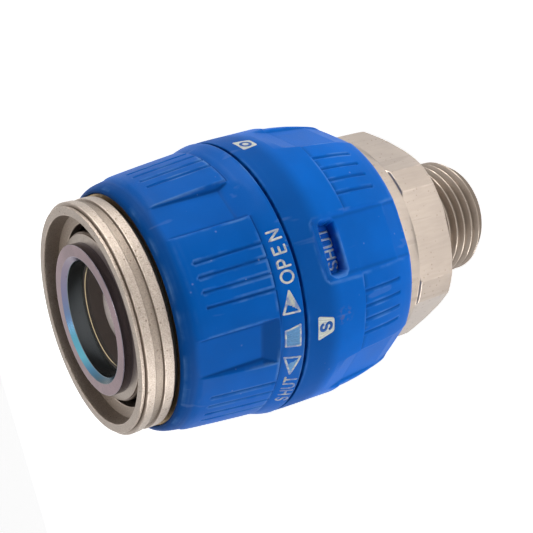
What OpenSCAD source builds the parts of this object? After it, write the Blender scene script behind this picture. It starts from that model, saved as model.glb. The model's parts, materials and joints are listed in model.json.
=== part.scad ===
// Quick coupling half with a full-flow ball valve, for liquid cooling lines.
// Depths are measured along the axis, back from the front plane of the lip.
// Radii build outwards from the flow bore, one wall or clearance after another.
// Angles are measured round the axis from the window side, which faces -Y.
// The model stands on its thread end with the nose up, in the shut position.

/* [Flow bore and ball] */
// Flow bore of the ball and the rear port
bore_d = 15.2; // [14.4:0.2:15.6]
// Radial distance from the ball's bore to its outer radius
ball_wall = 4.4; // [4.2:0.1:5]
// Gap between the ball and the body's bore
ball_gap = 0.3; // [0.25:0.05:0.5]
// Gap between the ball and the seats
seat_gap = 0.12; // [0.1:0.01:0.2]
// Step from the ball's bore out to the seats' bore
seat_step_w = 0.8; // [0.6:0.1:1]
// Start of each seat, measured from the ball's centre
seat_start_len = 6; // [5.6:0.1:6.6]
// Length of the rear seat
rear_seat_len = 5.3; // [4.8:0.1:5.8]
// Section of the seats' rubber rings
seat_cord_d = 1.5; // [1.2:0.1:1.7]
// Height of the pair of spring washers
spring_h = 3.1; // [2.6:0.1:3.6]
// Thickness of each spring washer
spring_t = 0.6; // [0.4:0.1:0.8]

/* [Nose] */
// Wall of the body's nose tube
nose_wall = 0.94; // [0.8:0.02:1.1]
// Wall of the seat retainer's skirt
retainer_wall = 1.28; // [1:0.02:1.5]
// Wall of the nose ring's skirt
nose_ring_wall = 1.9; // [1.6:0.1:2.2]
// Width of the step from the nose ring's skirt out to its head
nose_head_w = 0.75; // [0.5:0.05:1]
// Thickness of the nose ring's head
nose_head_t = 0.9; // [0.6:0.1:1.2]
// Length of the nose ring
nose_ring_len = 3.4; // [3:0.1:3.6]
// Set-back of the nose ring's face from the lip plane
nose_inset_gap = 0.12; // [0.05:0.01:0.3]
// Chamfer at the nose bore's mouth
nose_chamfer_w = 0.6; // [0.3:0.1:0.9]
// Thickness of the seat retainer's flange
retainer_t = 1.13; // [0.9:0.01:1.3]
// Length of the seat retainer behind the nose ring
retainer_tail_len = 1.68; // [1.2:0.02:2]
// Set-in of the retainer's flange from the nose tube
retainer_inset_w = 0.22; // [0.1:0.02:0.4]
// Drop of the retainer's face towards its edge
retainer_drop_h = 0.25; // [0.1:0.05:0.4]
// Gap between the ball's pole and the nose ring
pole_gap = 0.38; // [0.3:0.02:0.8]

/* [Lip and locking collar] */
// Width of the socket between the nose tube and the catch land
socket_w = 1.96; // [1.6:0.02:2.4]
// Height of the catch land above the undercut
catch_h = 0.7; // [0.3:0.1:0.9]
// Width of the step from the catch land out to the lip
lip_step_w = 0.95; // [0.7:0.05:1.3]
// Wall of the lip
lip_wall = 1.35; // [1.1:0.05:1.8]
// Height of the two raised bands above the lip
band_h = 0.55; // [0.3:0.05:0.8]
// Depth of the groove between the bands
band_groove_h = 0.45; // [0.2:0.05:0.7]
// Length of the lip in front of the crevice
lip_len = 0.45; // [0.3:0.05:0.8]
// Length of the crevice behind the lip
crevice_len = 0.15; // [0.1:0.05:0.3]
// Length of the front band
band1_len = 1.35; // [1:0.05:2]
// Length of the groove between the bands
band_groove_len = 1.35; // [0.8:0.05:2]
// Length of the rear band
band2_len = 1.6; // [1:0.1:2.2]
// Length of the socket in front of the catch land
catch_front_len = 2.2; // [1.8:0.1:2.8]
// Length of the catch land
catch_len = 2.3; // [1.5:0.1:3]
// Length of the undercut behind the catch land
undercut_len = 2.1; // [1.6:0.1:2.6]
// Thickness of the collar's web behind the socket
collar_web_t = 1.6; // [1.2:0.1:2]
// Wall of the collar's neck round the undercut
collar_neck_wall = 0.7; // [0.5:0.05:1]
// Thickness of the rubber gasket on the socket floor
gasket_t = 0.7; // [0.5:0.1:1]
// Width of the wiper ring round the collar's neck
wiper_w = 0.6; // [0.4:0.1:1]

/* [Valve body] */
// Length of the land behind the ball's centre
land_tail_len = 4.3; // [4.2:0.1:5]
// Wall between the ball's bore and the rack pockets
pocket_wall = 1.55; // [1.5:0.05:2]
// Wall of the tail
tail_wall = 1.9; // [1.6:0.1:2.4]
// Length of the threaded tail
tail_len = 12; // [9:0.5:12.5]
// Step from the port's bore out to the body's rear bore
body_step_w = 0.3; // [0.2:0.1:0.6]
// Section of the tail's rubber ring
tail_cord_d = 1.2; // [1:0.1:1.6]
// Distance of the tail's rubber ring from the tail's end
tail_cord_len = 2.5; // [2:0.1:3.5]

/* [Turning mechanism] */
// Angle through which the sleeve turns from shut to open
turn_deg = 86; // [80:1:92]
// Pitch radius of the pinions
pinion_r = 3.2; // [3.1:0.05:3.4]
// Number of teeth on a full pinion
pinion_teeth = 8; // [8:1:8]
// Backlash between rack and pinion teeth
tooth_gap = 0.25; // [0.22:0.01:0.35]
// Thickness of the pinions and racks
rack_t = 1.5; // [1.2:0.1:1.6]
// Side clearance of the racks and pinions in their pockets
rack_gap = 0.2; // [0.15:0.05:0.3]
// Width of the rack bars behind their teeth
rack_w = 1.6; // [1.4:0.1:1.8]
// Diameter of the stems
stem_d = 4.4; // [4:0.1:4.6]
// Width of the stem's tongue in the ball
tongue_w = 2.4; // [2:0.1:3]
// Length of the stem's tongue
tongue_len = 4.1; // [3.6:0.1:4.3]
// Height of the tongue in the ball
tongue_h = 1.7; // [1.2:0.1:2]
// Section of the stems' rubber rings
stem_cord_d = 0.7; // [0.6:0.1:0.9]
// Wall of the ring that joins the racks
ring_wall = 1.52; // [1.4:0.02:1.7]
// Length of the ring that joins the racks
ring_len = 5; // [4.5:0.1:5.4]
// Gap between the ring and the drum's bore
ring_gap = 0.28; // [0.2:0.02:0.5]
// Room left in front of the ring when the valve is open
ring_front_gap = 1.27; // [1:0.01:2]
// Room left behind the ring when the valve is shut
ring_rear_gap = 1.5; // [1.2:0.1:2]
// Diameter of the cam pins
cam_pin_d = 3; // [2.6:0.1:3.2]
// Wall left over the cam grooves in the drum
cam_skin_t = 1; // [0.8:0.1:1.2]
// Angle of the first cam pin
cam_pin_deg = 60; // [40:5:70]
// Gap round the cam pins in their grooves
cam_gap = 0.15; // [0.12:0.01:0.25]
// Radial running clearance of shafts and rings
run_gap = 0.08; // [0.05:0.01:0.09]
// Gap of pieces that are pressed, screwed or keyed together
fit_gap = 0.02; // [0.01:0.01:0.03]

/* [Indicator drum] */
// Wall of the drum
drum_wall = 2.32; // [2.1:0.02:2.6]
// Length of the drum's front bearing on the land
drum_front_len = 1.6; // [1.2:0.1:2]
// Length of the drum behind the body's neck
drum_tail_len = 1.7; // [1.5:0.1:2.2]
// Length of the drum's rear bearing
drum_bearing_len = 1.4; // [1:0.1:1.5]
// Gap round and behind the drum
drum_gap = 0.3; // [0.25:0.05:0.5]
// Width of the ribs that key the drum to the sleeve
drum_key_w = 1.8; // [1.4:0.1:2.4]
// Height of the key ribs
drum_key_h = 0.8; // [0.5:0.1:0.9]
// Number of key ribs
drum_keys = 3; // [2:1:6]

/* [Front sleeve] */
// Gap between the locking collar and the front sleeve
front_gap = 0.6; // [0.4:0.05:0.9]
// Wall over the bush, where the rounded front ends
front_wall = 1.63; // [1.5:0.01:2]
// Wall over the drum at the rear of the grip pads
pad_wall = 2; // [1.8:0.1:2.4]
// Wall over the drum at the seam between the sleeves
seam_wall = 2.9; // [2.6:0.1:3]
// Length of the front sleeve's hold on the drum, up to the seam
drum_hold_len = 5.65; // [5:0.05:6.2]
// Width of the seam
seam_gap = 0.5; // [0.3:0.1:0.7]
// Edge chamfer at the seam
seam_chamfer_w = 0.3; // [0.1:0.1:0.5]
// Length of the printed band behind the grip pads
band_len = 3.7; // [3.2:0.1:4.5]
// Length of the rounded front
front_round_len = 1.8; // [1.2:0.1:2.2]
// Depth of the rounded front across the wall
front_round_w = 1.35; // [0.9:0.05:1.4]
// Number of grip pads and scallops
grip_pads = 6; // [4:1:8]
// Width of a scallop's floor
scallop_w = 5.9; // [4:0.1:8]
// Depth of the scallops below the pads at the front
scallop_h = 0.75; // [0.4:0.05:0.85]
// Length of the scallop's rear ramp
scallop_ramp_len = 3.2; // [2:0.1:4]
// Wall of the brass bush
bush_wall = 1.02; // [0.8:0.02:1.1]
// Set-back of the bush's face from the sleeve's face
bush_inset_gap = 0.2; // [0.1:0.05:0.4]
// Length of the bush
bush_len = 7.3; // [5:0.1:8]

/* [Grip grooves] */
// Grooves on each grip pad
grooves = 4; // [3:1:5]
// Angle between neighbouring grooves
groove_deg = 6; // [5:0.2:7]
// Width of the grooves
groove_w = 1; // [0.6:0.1:1.4]
// Height of the ribs between the grooves
groove_h = 0.35; // [0.2:0.05:0.5]
// Length of the plain front of each grip pad
pad_plain_len = 4.2; // [3.5:0.1:6]
// Length of the plain rear of each rear pad
rear_plain_len = 3.5; // [3:0.1:5]

/* [Rear sleeve] */
// Wall of the rear sleeve at its largest diameter
rear_wall = 3; // [2.8:0.05:3.4]
// Length of the rear pads, from the step to the rear face
rear_pad_len = 11.3; // [10.4:0.1:12]
// Height of the step in front of the rear pads
rear_step_h = 0.25; // [0.1:0.05:0.4]
// Taper of the rear pads down to the rounded rear edge
rear_taper_h = 1.15; // [0.8:0.05:1.5]
// Radius of the rounded rear edge
rear_edge_r = 1.2; // [0.8:0.1:1.6]
// Length of the web that sits on the adapter
web_len = 10.3; // [9:0.1:11]
// Angle between the two rear pads beside the window
window_side_deg = 57.4; // [54:0.2:60]
// Width of the recess floors between the rear pads
recess_w = 8.7; // [8.6:0.1:9.6]
// Width of the sloping sides of the recesses
recess_side_w = 1.6; // [1:0.1:2.2]
// Depth of the recess floors
recess_h = 1.2; // [0.9:0.05:1.4]
// Length of plain sleeve between the seam and the window's recess
window_plain_len = 3.35; // [2.8:0.05:3.8]
// Length of plain sleeve between the seam and the other recesses
recess_plain_len = 5.55; // [5:0.05:6.2]
// Opening of the window along the axis
window_w = 3.1; // [2.6:0.1:3.4]
// Opening of the window round the sleeve
window_len = 8.4; // [7:0.1:8.5]
// Distance of the window's centre from the seam
window_mid_len = 6.8; // [6.5:0.05:7]
// Corner radius of the window
window_corner_r = 0.8; // [0.4:0.1:1.2]

/* [Adapter] */
// Wall of the spigot inside the rear sleeve
spigot_wall = 2.38; // [2.2:0.02:2.6]
// Height of the step from the spigot to the neck
neck_step_h = 0.3; // [0.2:0.05:0.6]
// Length of the neck inside the rear sleeve
neck_hidden_len = 1.5; // [1:0.1:2.5]
// Length of the visible neck
neck_len = 3.7; // [2.5:0.1:5]
// Height of the flats above the neck
hex_step_h = 0.1; // [0.05:0.05:1]
// Height of the turned corners above the flats
hex_corner_h = 1.6; // [1:0.1:2.2]
// Length of the spanner flats
hex_len = 8.2; // [7:0.1:10]
// Length of the corner chamfer at the rear of the flats
hex_chamfer_len = 1.1; // [0.6:0.1:1.6]
// Angle of the flat nearest to the window side
hex_deg = -7; // [-20:1:20]
// Wall of the male thread's stub
thread_wall = 2.8; // [2.4:0.1:3.2]
// Length of the male thread
thread_len = 15.3; // [13:0.1:19]
// Chamfer at the thread's end
thread_chamfer_w = 1; // [0.5:0.1:1.4]
// Gap between the body's tail and the bottom of the adapter's bore
tail_end_gap = 0.4; // [0.2:0.1:1]

/* [Retaining ring and keys] */
// Thickness of the retaining ring
clip_t = 1; // [0.8:0.1:1.2]
// Depth of the retaining ring's groove
clip_groove_h = 0.7; // [0.5:0.1:0.9]
// Height of the retaining ring above the spigot
clip_h = 1.5; // [1.2:0.1:1.8]
// Opening of the retaining ring
clip_open_deg = 20; // [14:1:30]
// Diameter of the keys that stop the rear sleeve from turning
key_d = 1.8; // [1.4:0.1:2]
// Length of the keys
key_len = 5; // [4:0.5:7]
// Number of keys
keys = 3; // [2:1:4]

/* [Smoothness] */
// Segments in a full turn
$fn = 96; // [64:8:160]

/* [Hidden] */

// Radii, from the flow bore outwards
flow_r = bore_d / 2;
ball_r = flow_r + ball_wall;
body_r = ball_r + ball_gap;
seat_bore_r = flow_r + seat_step_w;
seat_r = body_r - fit_gap;
nose_tube_r = body_r + nose_wall;
nose_skirt_r = seat_r - retainer_wall;
nose_bore_r = nose_skirt_r - nose_ring_wall;
nose_head_r = nose_skirt_r + nose_head_w;
retainer_r = nose_tube_r - retainer_inset_w;
catch_r = nose_tube_r + socket_w;
undercut_r = catch_r + catch_h;
collar_neck_r = undercut_r + collar_neck_wall;
lip_in_r = catch_r + lip_step_w;
lip_r = lip_in_r + lip_wall;
band_r = lip_r + band_h;
band_groove_r = band_r - band_groove_h;
land_r = collar_neck_r + wiper_w;
drum_bore_r = land_r + run_gap;
drum_r = drum_bore_r + drum_wall;
ring_r = drum_bore_r - ring_gap;
ring_bore_r = ring_r - ring_wall;
neck_r = ring_bore_r - run_gap;
bush_r = drum_bore_r + bush_wall;
grip_front_r = bush_r + fit_gap + front_wall;
grip_rear_r = drum_r + pad_wall;
seam_r = drum_r + seam_wall;
cavity_r = drum_r + drum_gap;
rear_max_r = cavity_r + rear_wall;
rear_grip_r = rear_max_r - rear_step_h;
rear_end_r = rear_grip_r - rear_taper_h;
recess_r = rear_max_r - recess_h;
cam_pin_top_r = drum_r - cam_skin_t - cam_gap;
tail_r = body_r + tail_wall;
adapter_bore_r = tail_r + fit_gap;
spigot_r = adapter_bore_r + spigot_wall;
adapter_neck_r = spigot_r + neck_step_h;
hex_flat_r = adapter_neck_r + hex_step_h;
hex_corner_r = hex_flat_r + hex_corner_h;
thread_r = flow_r + thread_wall;
body_bore_r = flow_r + body_step_w;
seat_o_ring_r = seat_cord_d / 2;
pocket_floor_r = body_r + pocket_wall;

// Teeth, in one module with the pinion
tooth_module = 2 * pinion_r / pinion_teeth;
tooth_pitch = PI * tooth_module;
tooth_top = 0.8 * tooth_module;
tooth_foot = tooth_module;
tooth_half = (tooth_pitch / 2 - tooth_gap) / 2;
rack_travel = pinion_r * PI / 2;
rack_in = pocket_floor_r + rack_gap / 2;
rack_y0 = pinion_r + tooth_foot;
rack_y1 = rack_y0 + rack_w;

// Depths along the axis
band1_start = lip_len + crevice_len;
band1_end = band1_start + band1_len;
band2_start = band1_end + band_groove_len;
band2_end = band2_start + band2_len;
catch_end = catch_front_len + catch_len;
socket_end = catch_end + undercut_len;
shoulder_end = socket_end + collar_web_t;
nose_head_end = nose_inset_gap + nose_head_t;
nose_end = nose_inset_gap + nose_ring_len;
retainer_seat = nose_head_end + retainer_t;
retainer_end = nose_end + retainer_tail_len;
ball_mid = nose_end + pole_gap + ball_r;
front_seat_end = ball_mid - seat_start_len;
rear_seat_start = ball_mid + seat_start_len;
rear_seat_end = rear_seat_start + rear_seat_len;
body_shoulder = rear_seat_end + spring_h;
rack_front = ball_mid - tooth_pitch / 2 - 0.9 * tooth_module;
land_end = ball_mid + land_tail_len;
ring_rear = land_end + ring_front_gap + rack_travel + ring_len;
ring_front = ring_rear - ring_len;
pin_mid = ring_rear - ring_len / 2;
neck_end = ring_rear + ring_rear_gap;
tail_end = neck_end + tail_len;
tail_cord_mid = tail_end - tail_cord_len;
drum_start = land_end - drum_front_len;
drum_end = neck_end + drum_tail_len;
drum_lip = drum_end - drum_bearing_len;
clip_start = drum_end + drum_gap;
web_start = clip_start + clip_t;
rear_end = web_start + web_len;
spigot_end = rear_end - neck_hidden_len;
hex_start = rear_end + neck_len;
hex_end = hex_start + hex_len;
total_len = hex_end + thread_len;
front_start = band2_end + front_gap;
bush_start = front_start + bush_inset_gap;
bush_end = bush_start + bush_len;
seam_mid = drum_start + drum_hold_len;
front_end = seam_mid - seam_gap / 2;
rear_start = seam_mid + seam_gap / 2;
pad_rear = front_end - band_len;
front_round_end = front_start + front_round_len;
scallop_end = pad_rear - scallop_ramp_len;
front_groove_start = front_start + pad_plain_len;
rear_groove_end = rear_end - rear_plain_len;
rear_step = rear_end - rear_pad_len;
window_mid = seam_mid + window_mid_len;
window_recess_start = seam_mid + window_plain_len;
recess_start = seam_mid + recess_plain_len;
key_rib_start = drum_start + 0.5;
key_rib_end = front_end - 1;

// Pattern angles round the sleeves
index_deg = -28.5;
key_rib_deg = index_deg + 180 / grip_pads;
rear_pad_deg = (360 - window_side_deg) / (grip_pads - 1);

// Small rounding of turned edges, and a cutter's reach past a surface
edge_w = 0.12;
past = 1;

// Height above the thread end for a depth behind the lip plane
function z_of(d) = total_len - d;

// Points of a curve through a start, towards a pull point, to an end
function curve(a, p, b, n = 8) = [for (i = [0:n]) let (t = i / n)
    (1 - t) * (1 - t) * a + 2 * t * (1 - t) * p + t * t * b];

// Quarter of an ellipse that rounds an edge, from angle u to angle v
function rounding(c, rr, dd, u, v, n = 5) = [for (i = [0:n]) let (t = u + (v - u) * i / n)
    [c[0] + rr * cos(t), c[1] + dd * sin(t)]];

// Revolves a profile given as radius and depth, leaving out points that repeat
module turned(pts) {
    clean = [for (i = [0:len(pts) - 1]) if (i == 0 || norm(pts[i] - pts[i - 1]) > 0.01) pts[i]];
    rotate_extrude()
        polygon([for (p = clean) [p[0], z_of(p[1])]]);
}

// Turns its children so that local +X points out at an angle round the axis
module at(deg) {
    rotate([0, 0, deg - 90])
        children();
}

// Disc or bore between two depths
module disc(r, d0, d1) {
    translate([0, 0, z_of(d1)])
        cylinder(r = r, h = d1 - d0);
}

// Cylinder along local +X at a depth, from one radius to another
module radial_rod(r, d, r0, r1) {
    translate([r0, 0, z_of(d)])
        rotate([0, 90, 0])
            cylinder(r = r, h = r1 - r0);
}

// Rubber ring of round section round the main axis
module cord_ring(outer, cord, d) {
    translate([0, 0, z_of(d)])
        rotate_extrude()
            translate([outer - cord / 2, 0])
                circle(d = cord, $fn = 32);
}

// Rectangle with rounded corners
module rounded_rect(a, b, r) {
    square([a, b - 2 * r], center = true);
    square([a - 2 * r, b], center = true);
    for (sx = [-1, 1])
        for (sy = [-1, 1])
            translate([sx * (a / 2 - r), sy * (b / 2 - r)])
                circle(r = r, $fn = 32);
}

// Groove along a sloping surface, from one radius and depth to another
module grip_groove(r0, d0, r1, d1) {
    rotate([90, 0, 0])
        linear_extrude(groove_w, center = true)
            polygon([
                [r0 - groove_h, z_of(d0)],
                [r1 - groove_h, z_of(d1)],
                [r1 + past, z_of(d1)],
                [r0 + past, z_of(d0)]]);
}

// Set of grooves across one pad
module groove_set(r0, d0, r1, d1) {
    for (i = [0:grooves - 1])
        rotate([0, 0, (i - (grooves - 1) / 2) * groove_deg])
            grip_groove(r0, d0, r1, d1);
}

// Pocket with a floor that follows a side profile and sides that slope outwards
module tapered_pocket(profile, floor_w, side_w, floor_r, top_r, d0, d1) {
    half = floor_w / 2;
    intersection() {
        rotate([90, 0, 0])
            linear_extrude(floor_w + 4 * side_w, center = true)
                polygon([for (p = profile) [p[0], z_of(p[1])]]);
        translate([0, 0, z_of(d1)])
            linear_extrude(d1 - d0)
                polygon([
                    [floor_r, -half],
                    [floor_r, half],
                    [top_r, half + side_w],
                    [top_r + past, half + side_w],
                    [top_r + past, -half - side_w],
                    [top_r, -half - side_w]]);
    }
}

// Ball-side hollow that both seats share
module ball_hollow() {
    translate([0, 0, z_of(ball_mid)])
        sphere(r = ball_r + seat_gap);
}

module locking_collar() {
    crevice_r = lip_r - 2 * edge_w;
    color("#c9b9a4")
        turned([
            [lip_in_r, edge_w],
            [lip_in_r + edge_w, 0],
            [lip_r - edge_w, 0],
            [lip_r, edge_w],
            [lip_r, lip_len - edge_w / 2],
            [crevice_r, lip_len],
            [crevice_r, band1_start],
            [band_r - edge_w, band1_start],
            [band_r, band1_start + edge_w],
            [band_r, band1_end - edge_w],
            [band_r - edge_w, band1_end],
            [band_groove_r, band1_end + edge_w / 2],
            [band_groove_r, band2_start - edge_w / 2],
            [band_r - edge_w, band2_start],
            [band_r, band2_start + edge_w],
            [band_r, band2_end - edge_w],
            [band_r - edge_w, band2_end],
            [collar_neck_r, band2_end],
            [collar_neck_r, shoulder_end],
            [nose_tube_r + fit_gap, shoulder_end],
            [nose_tube_r + fit_gap, socket_end],
            [undercut_r, socket_end],
            [undercut_r, catch_end],
            [catch_r, catch_end],
            [catch_r, catch_front_len],
            [lip_in_r, catch_front_len - lip_step_w / 2]]);
}

module nose_ring() {
    color("#8f7683")
        turned([
            [nose_bore_r, nose_inset_gap + nose_chamfer_w],
            [nose_bore_r + nose_chamfer_w, nose_inset_gap],
            [nose_head_r - edge_w, nose_inset_gap],
            [nose_head_r, nose_inset_gap + edge_w],
            [nose_head_r, nose_head_end],
            [nose_skirt_r, nose_head_end],
            [nose_skirt_r, nose_end],
            [nose_bore_r, nose_end]]);
}

module seat_retainer() {
    bore_r = nose_skirt_r + fit_gap;
    color("#a89a84")
        turned([
            [bore_r, nose_head_end],
            [nose_head_r, nose_head_end],
            [retainer_r, nose_head_end + retainer_drop_h],
            [retainer_r, retainer_seat],
            [seat_r, retainer_seat],
            [seat_r, retainer_end],
            [bore_r, retainer_end]]);
}

module front_seat() {
    spigot = nose_skirt_r - 0.1;
    cord_mid = (retainer_end + front_seat_end) / 2;
    cord_r = body_r - seat_cord_d;
    color("#d8cbb0")
        difference() {
            turned([
                [seat_bore_r, nose_end + nose_bore_r - seat_bore_r],
                [nose_bore_r - 0.1, nose_end],
                [spigot, nose_end],
                [spigot, retainer_end],
                [seat_r, retainer_end],
                [seat_r, cord_mid - seat_o_ring_r],
                [cord_r, cord_mid - seat_o_ring_r],
                [cord_r, cord_mid + seat_o_ring_r],
                [seat_r, cord_mid + seat_o_ring_r],
                [seat_r, front_seat_end],
                [seat_bore_r, front_seat_end]]);
            ball_hollow();
        }
}

module rear_seat() {
    cord_mid = (rear_seat_start + rear_seat_end) / 2;
    cord_r = body_r - seat_cord_d;
    color("#d8cbb0")
        difference() {
            turned([
                [seat_bore_r, rear_seat_start],
                [seat_r, rear_seat_start],
                [seat_r, cord_mid - seat_o_ring_r],
                [cord_r, cord_mid - seat_o_ring_r],
                [cord_r, cord_mid + seat_o_ring_r],
                [seat_r, cord_mid + seat_o_ring_r],
                [seat_r, rear_seat_end],
                [seat_bore_r, rear_seat_end]]);
            ball_hollow();
        }
}

module seat_o_rings() {
    color("#1c1c1e") {
        cord_ring(seat_r, seat_cord_d - fit_gap, (retainer_end + front_seat_end) / 2);
        cord_ring(seat_r, seat_cord_d - fit_gap, (rear_seat_start + rear_seat_end) / 2);
    }
}

module seat_springs() {
    inner = seat_bore_r + 0.3;
    outer = body_r - 0.2;
    mid = rear_seat_end + spring_h / 2;
    color("#9a9ca0") {
        turned([
            [inner, rear_seat_end],
            [outer, mid - spring_t],
            [outer, mid],
            [inner, rear_seat_end + spring_t]]);
        turned([
            [outer, mid],
            [outer, mid + spring_t],
            [inner, body_shoulder],
            [inner, body_shoulder - spring_t]]);
    }
}

module socket_gasket() {
    inner = nose_tube_r + fit_gap;
    outer = catch_r + catch_h / 2;
    color("#141416")
        turned([
            [inner, socket_end - gasket_t],
            [catch_r - 0.1, socket_end - gasket_t],
            [outer, socket_end - gasket_t / 2],
            [outer, socket_end],
            [inner, socket_end]]);
}

module valve_body() {
    rack_back = z_of(neck_end + past);
    rack_run = neck_end + past - rack_front + rack_travel + rack_gap;
    rack_low = pinion_r - tooth_top - rack_gap;
    cord_r = tail_r - tail_cord_d;
    color("#b7aa98")
        difference() {
            turned([
                [body_r, retainer_seat],
                [nose_tube_r - edge_w, retainer_seat],
                [nose_tube_r, retainer_seat + edge_w],
                [nose_tube_r, shoulder_end],
                [land_r, shoulder_end],
                [land_r, land_end],
                [neck_r, land_end],
                [neck_r, neck_end],
                [tail_r, neck_end],
                [tail_r, tail_cord_mid - tail_cord_d / 2],
                [cord_r, tail_cord_mid - tail_cord_d / 2],
                [cord_r, tail_cord_mid + tail_cord_d / 2],
                [tail_r, tail_cord_mid + tail_cord_d / 2],
                [tail_r, tail_end],
                [body_bore_r, tail_end],
                [body_bore_r, body_shoulder],
                [body_r, body_shoulder]]);
            for (s = [0, 1])
                mirror([s, 0, 0]) {
                    radial_rod(stem_d / 2 + run_gap, ball_mid, 0, land_r + past);
                    radial_rod(pinion_r + tooth_top + 2 * rack_gap, ball_mid, pocket_floor_r,
                        land_r + past);
                    intersection() {
                        translate([pocket_floor_r, rack_low, rack_back])
                            cube([land_r, rack_y1 + rack_gap - rack_low, rack_run]);
                        disc(land_r + past, shoulder_end, neck_end);
                    }
                }
        }
}

module valve_ball() {
    color("#77695c")
        difference() {
            translate([0, 0, z_of(ball_mid)])
                sphere(r = ball_r);
            translate([0, 0, z_of(ball_mid)])
                rotate([90, 0, 0])
                    cylinder(r = flow_r, h = 2 * ball_r + past, center = true);
            for (s = [0, 1])
                mirror([s, 0, 0])
                    translate([ball_r - tongue_h, -tongue_len / 2 - fit_gap,
                            z_of(ball_mid) - tongue_w / 2 - fit_gap])
                        cube([tongue_h + past, tongue_len + 2 * fit_gap, tongue_w + 2 * fit_gap]);
        }
}

// Outline of a pinion with one tooth on the +X side
module pinion_2d() {
    root = pinion_r - tooth_foot;
    tip = pinion_r + tooth_top;
    circle(r = root, $fn = 48);
    for (i = [0:pinion_teeth - 1])
        rotate(i * 360 / pinion_teeth)
            polygon([
                [root * 0.8, -tooth_half * 1.1],
                [pinion_r, -tooth_half],
                [tip, -tooth_half * 0.4],
                [tip, tooth_half * 0.4],
                [pinion_r, tooth_half],
                [root * 0.8, tooth_half * 1.1]]);
}

module pinion_stems() {
    cord_mid = (body_r + pocket_floor_r) / 2;
    floor_r = stem_d / 2 + run_gap - stem_cord_d - fit_gap;
    slot_w = stem_cord_d + 0.1;
    color("#8d8f93")
        for (s = [0, 1])
            mirror([s, 0, 0]) {
                translate([rack_in, 0, z_of(ball_mid)])
                    rotate([90, 0, 90])
                        linear_extrude(rack_t)
                            pinion_2d();
                radial_rod(stem_d / 2, ball_mid, ball_r + fit_gap, cord_mid - slot_w / 2);
                radial_rod(floor_r, ball_mid, ball_r + fit_gap, rack_in + fit_gap);
                radial_rod(stem_d / 2, ball_mid, cord_mid + slot_w / 2, rack_in + fit_gap);
                translate([ball_r - tongue_h + fit_gap, -tongue_len / 2,
                        z_of(ball_mid) - tongue_w / 2])
                    cube([tongue_h + fit_gap, tongue_len, tongue_w]);
            }
}

module stem_o_rings() {
    outer = stem_d / 2 + run_gap - fit_gap;
    color("#1c1c1e")
        for (s = [0, 1])
            mirror([s, 0, 0])
                translate([(body_r + pocket_floor_r) / 2, 0, z_of(ball_mid)])
                    rotate([0, 90, 0])
                        rotate_extrude($fn = 64)
                            translate([outer - stem_cord_d / 2, 0])
                                circle(d = stem_cord_d, $fn = 24);
}

// Outline of one rack: X runs along the axis towards the nose, Y across it
module rack_2d() {
    root_half = tooth_half + 0.28 * tooth_foot;
    tip_half = tooth_half * 0.45;
    square([ring_rear - rack_front, rack_w]);
    for (i = [-2 - pinion_teeth / 4:0])
        translate([tooth_pitch * (i + 0.5) + ring_rear - ball_mid, 0])
            polygon([
                [-root_half, 0.01],
                [-tooth_half, -tooth_foot],
                [-tip_half, -tooth_foot - tooth_top],
                [tip_half, -tooth_foot - tooth_top],
                [tooth_half, -tooth_foot],
                [root_half, 0.01]]);
}

module rack_carriage() {
    color("#a3988a")
        difference() {
            union() {
                difference() {
                    disc(ring_r, ring_front, ring_rear);
                    disc(ring_bore_r, ring_front - past, ring_rear + past);
                }
                for (s = [0, 1])
                    mirror([s, 0, 0])
                        translate([rack_in, rack_y0, z_of(ring_rear)])
                            rotate([0, -90, 0])
                                mirror([0, 0, 1])
                                    linear_extrude(rack_t)
                                        rack_2d();
            }
            for (k = [0, 180])
                at(cam_pin_deg + k)
                    radial_rod(cam_pin_d / 2 + fit_gap, pin_mid, 0, ring_r + past);
        }
}

module cam_pins() {
    color("#8d8f93")
        for (k = [0, 180])
            at(cam_pin_deg + k)
                radial_rod(cam_pin_d / 2, pin_mid, ring_bore_r, cam_pin_top_r);
}

// Ribs that key the drum to the front sleeve, or with a clearance, their slots
module key_ribs(gap, rear) {
    for (i = [0:drum_keys - 1])
        at(key_rib_deg + i * 360 / drum_keys)
            translate([drum_r - drum_key_h, -drum_key_w / 2 - gap, z_of(rear)])
                cube([2 * drum_key_h + gap, drum_key_w + 2 * gap, rear - key_rib_start + gap]);
}

module indicator_drum() {
    steps = 24;
    color("#12306e")
        difference() {
            union() {
                turned([
                    [drum_bore_r, drum_start],
                    [drum_r, drum_start],
                    [drum_r, drum_end],
                    [spigot_r + run_gap, drum_end],
                    [spigot_r + run_gap, drum_lip],
                    [drum_bore_r, drum_lip + spigot_r - drum_bore_r]]);
                key_ribs(0, key_rib_end);
            }
            for (k = [0, 180])
                for (i = [0:steps])
                    at(cam_pin_deg + k - turn_deg * i / steps)
                        radial_rod(cam_pin_d / 2 + cam_gap, pin_mid - rack_travel * i / steps,
                            neck_r, cam_pin_top_r + cam_gap, $fn = 48);
        }
}

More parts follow.
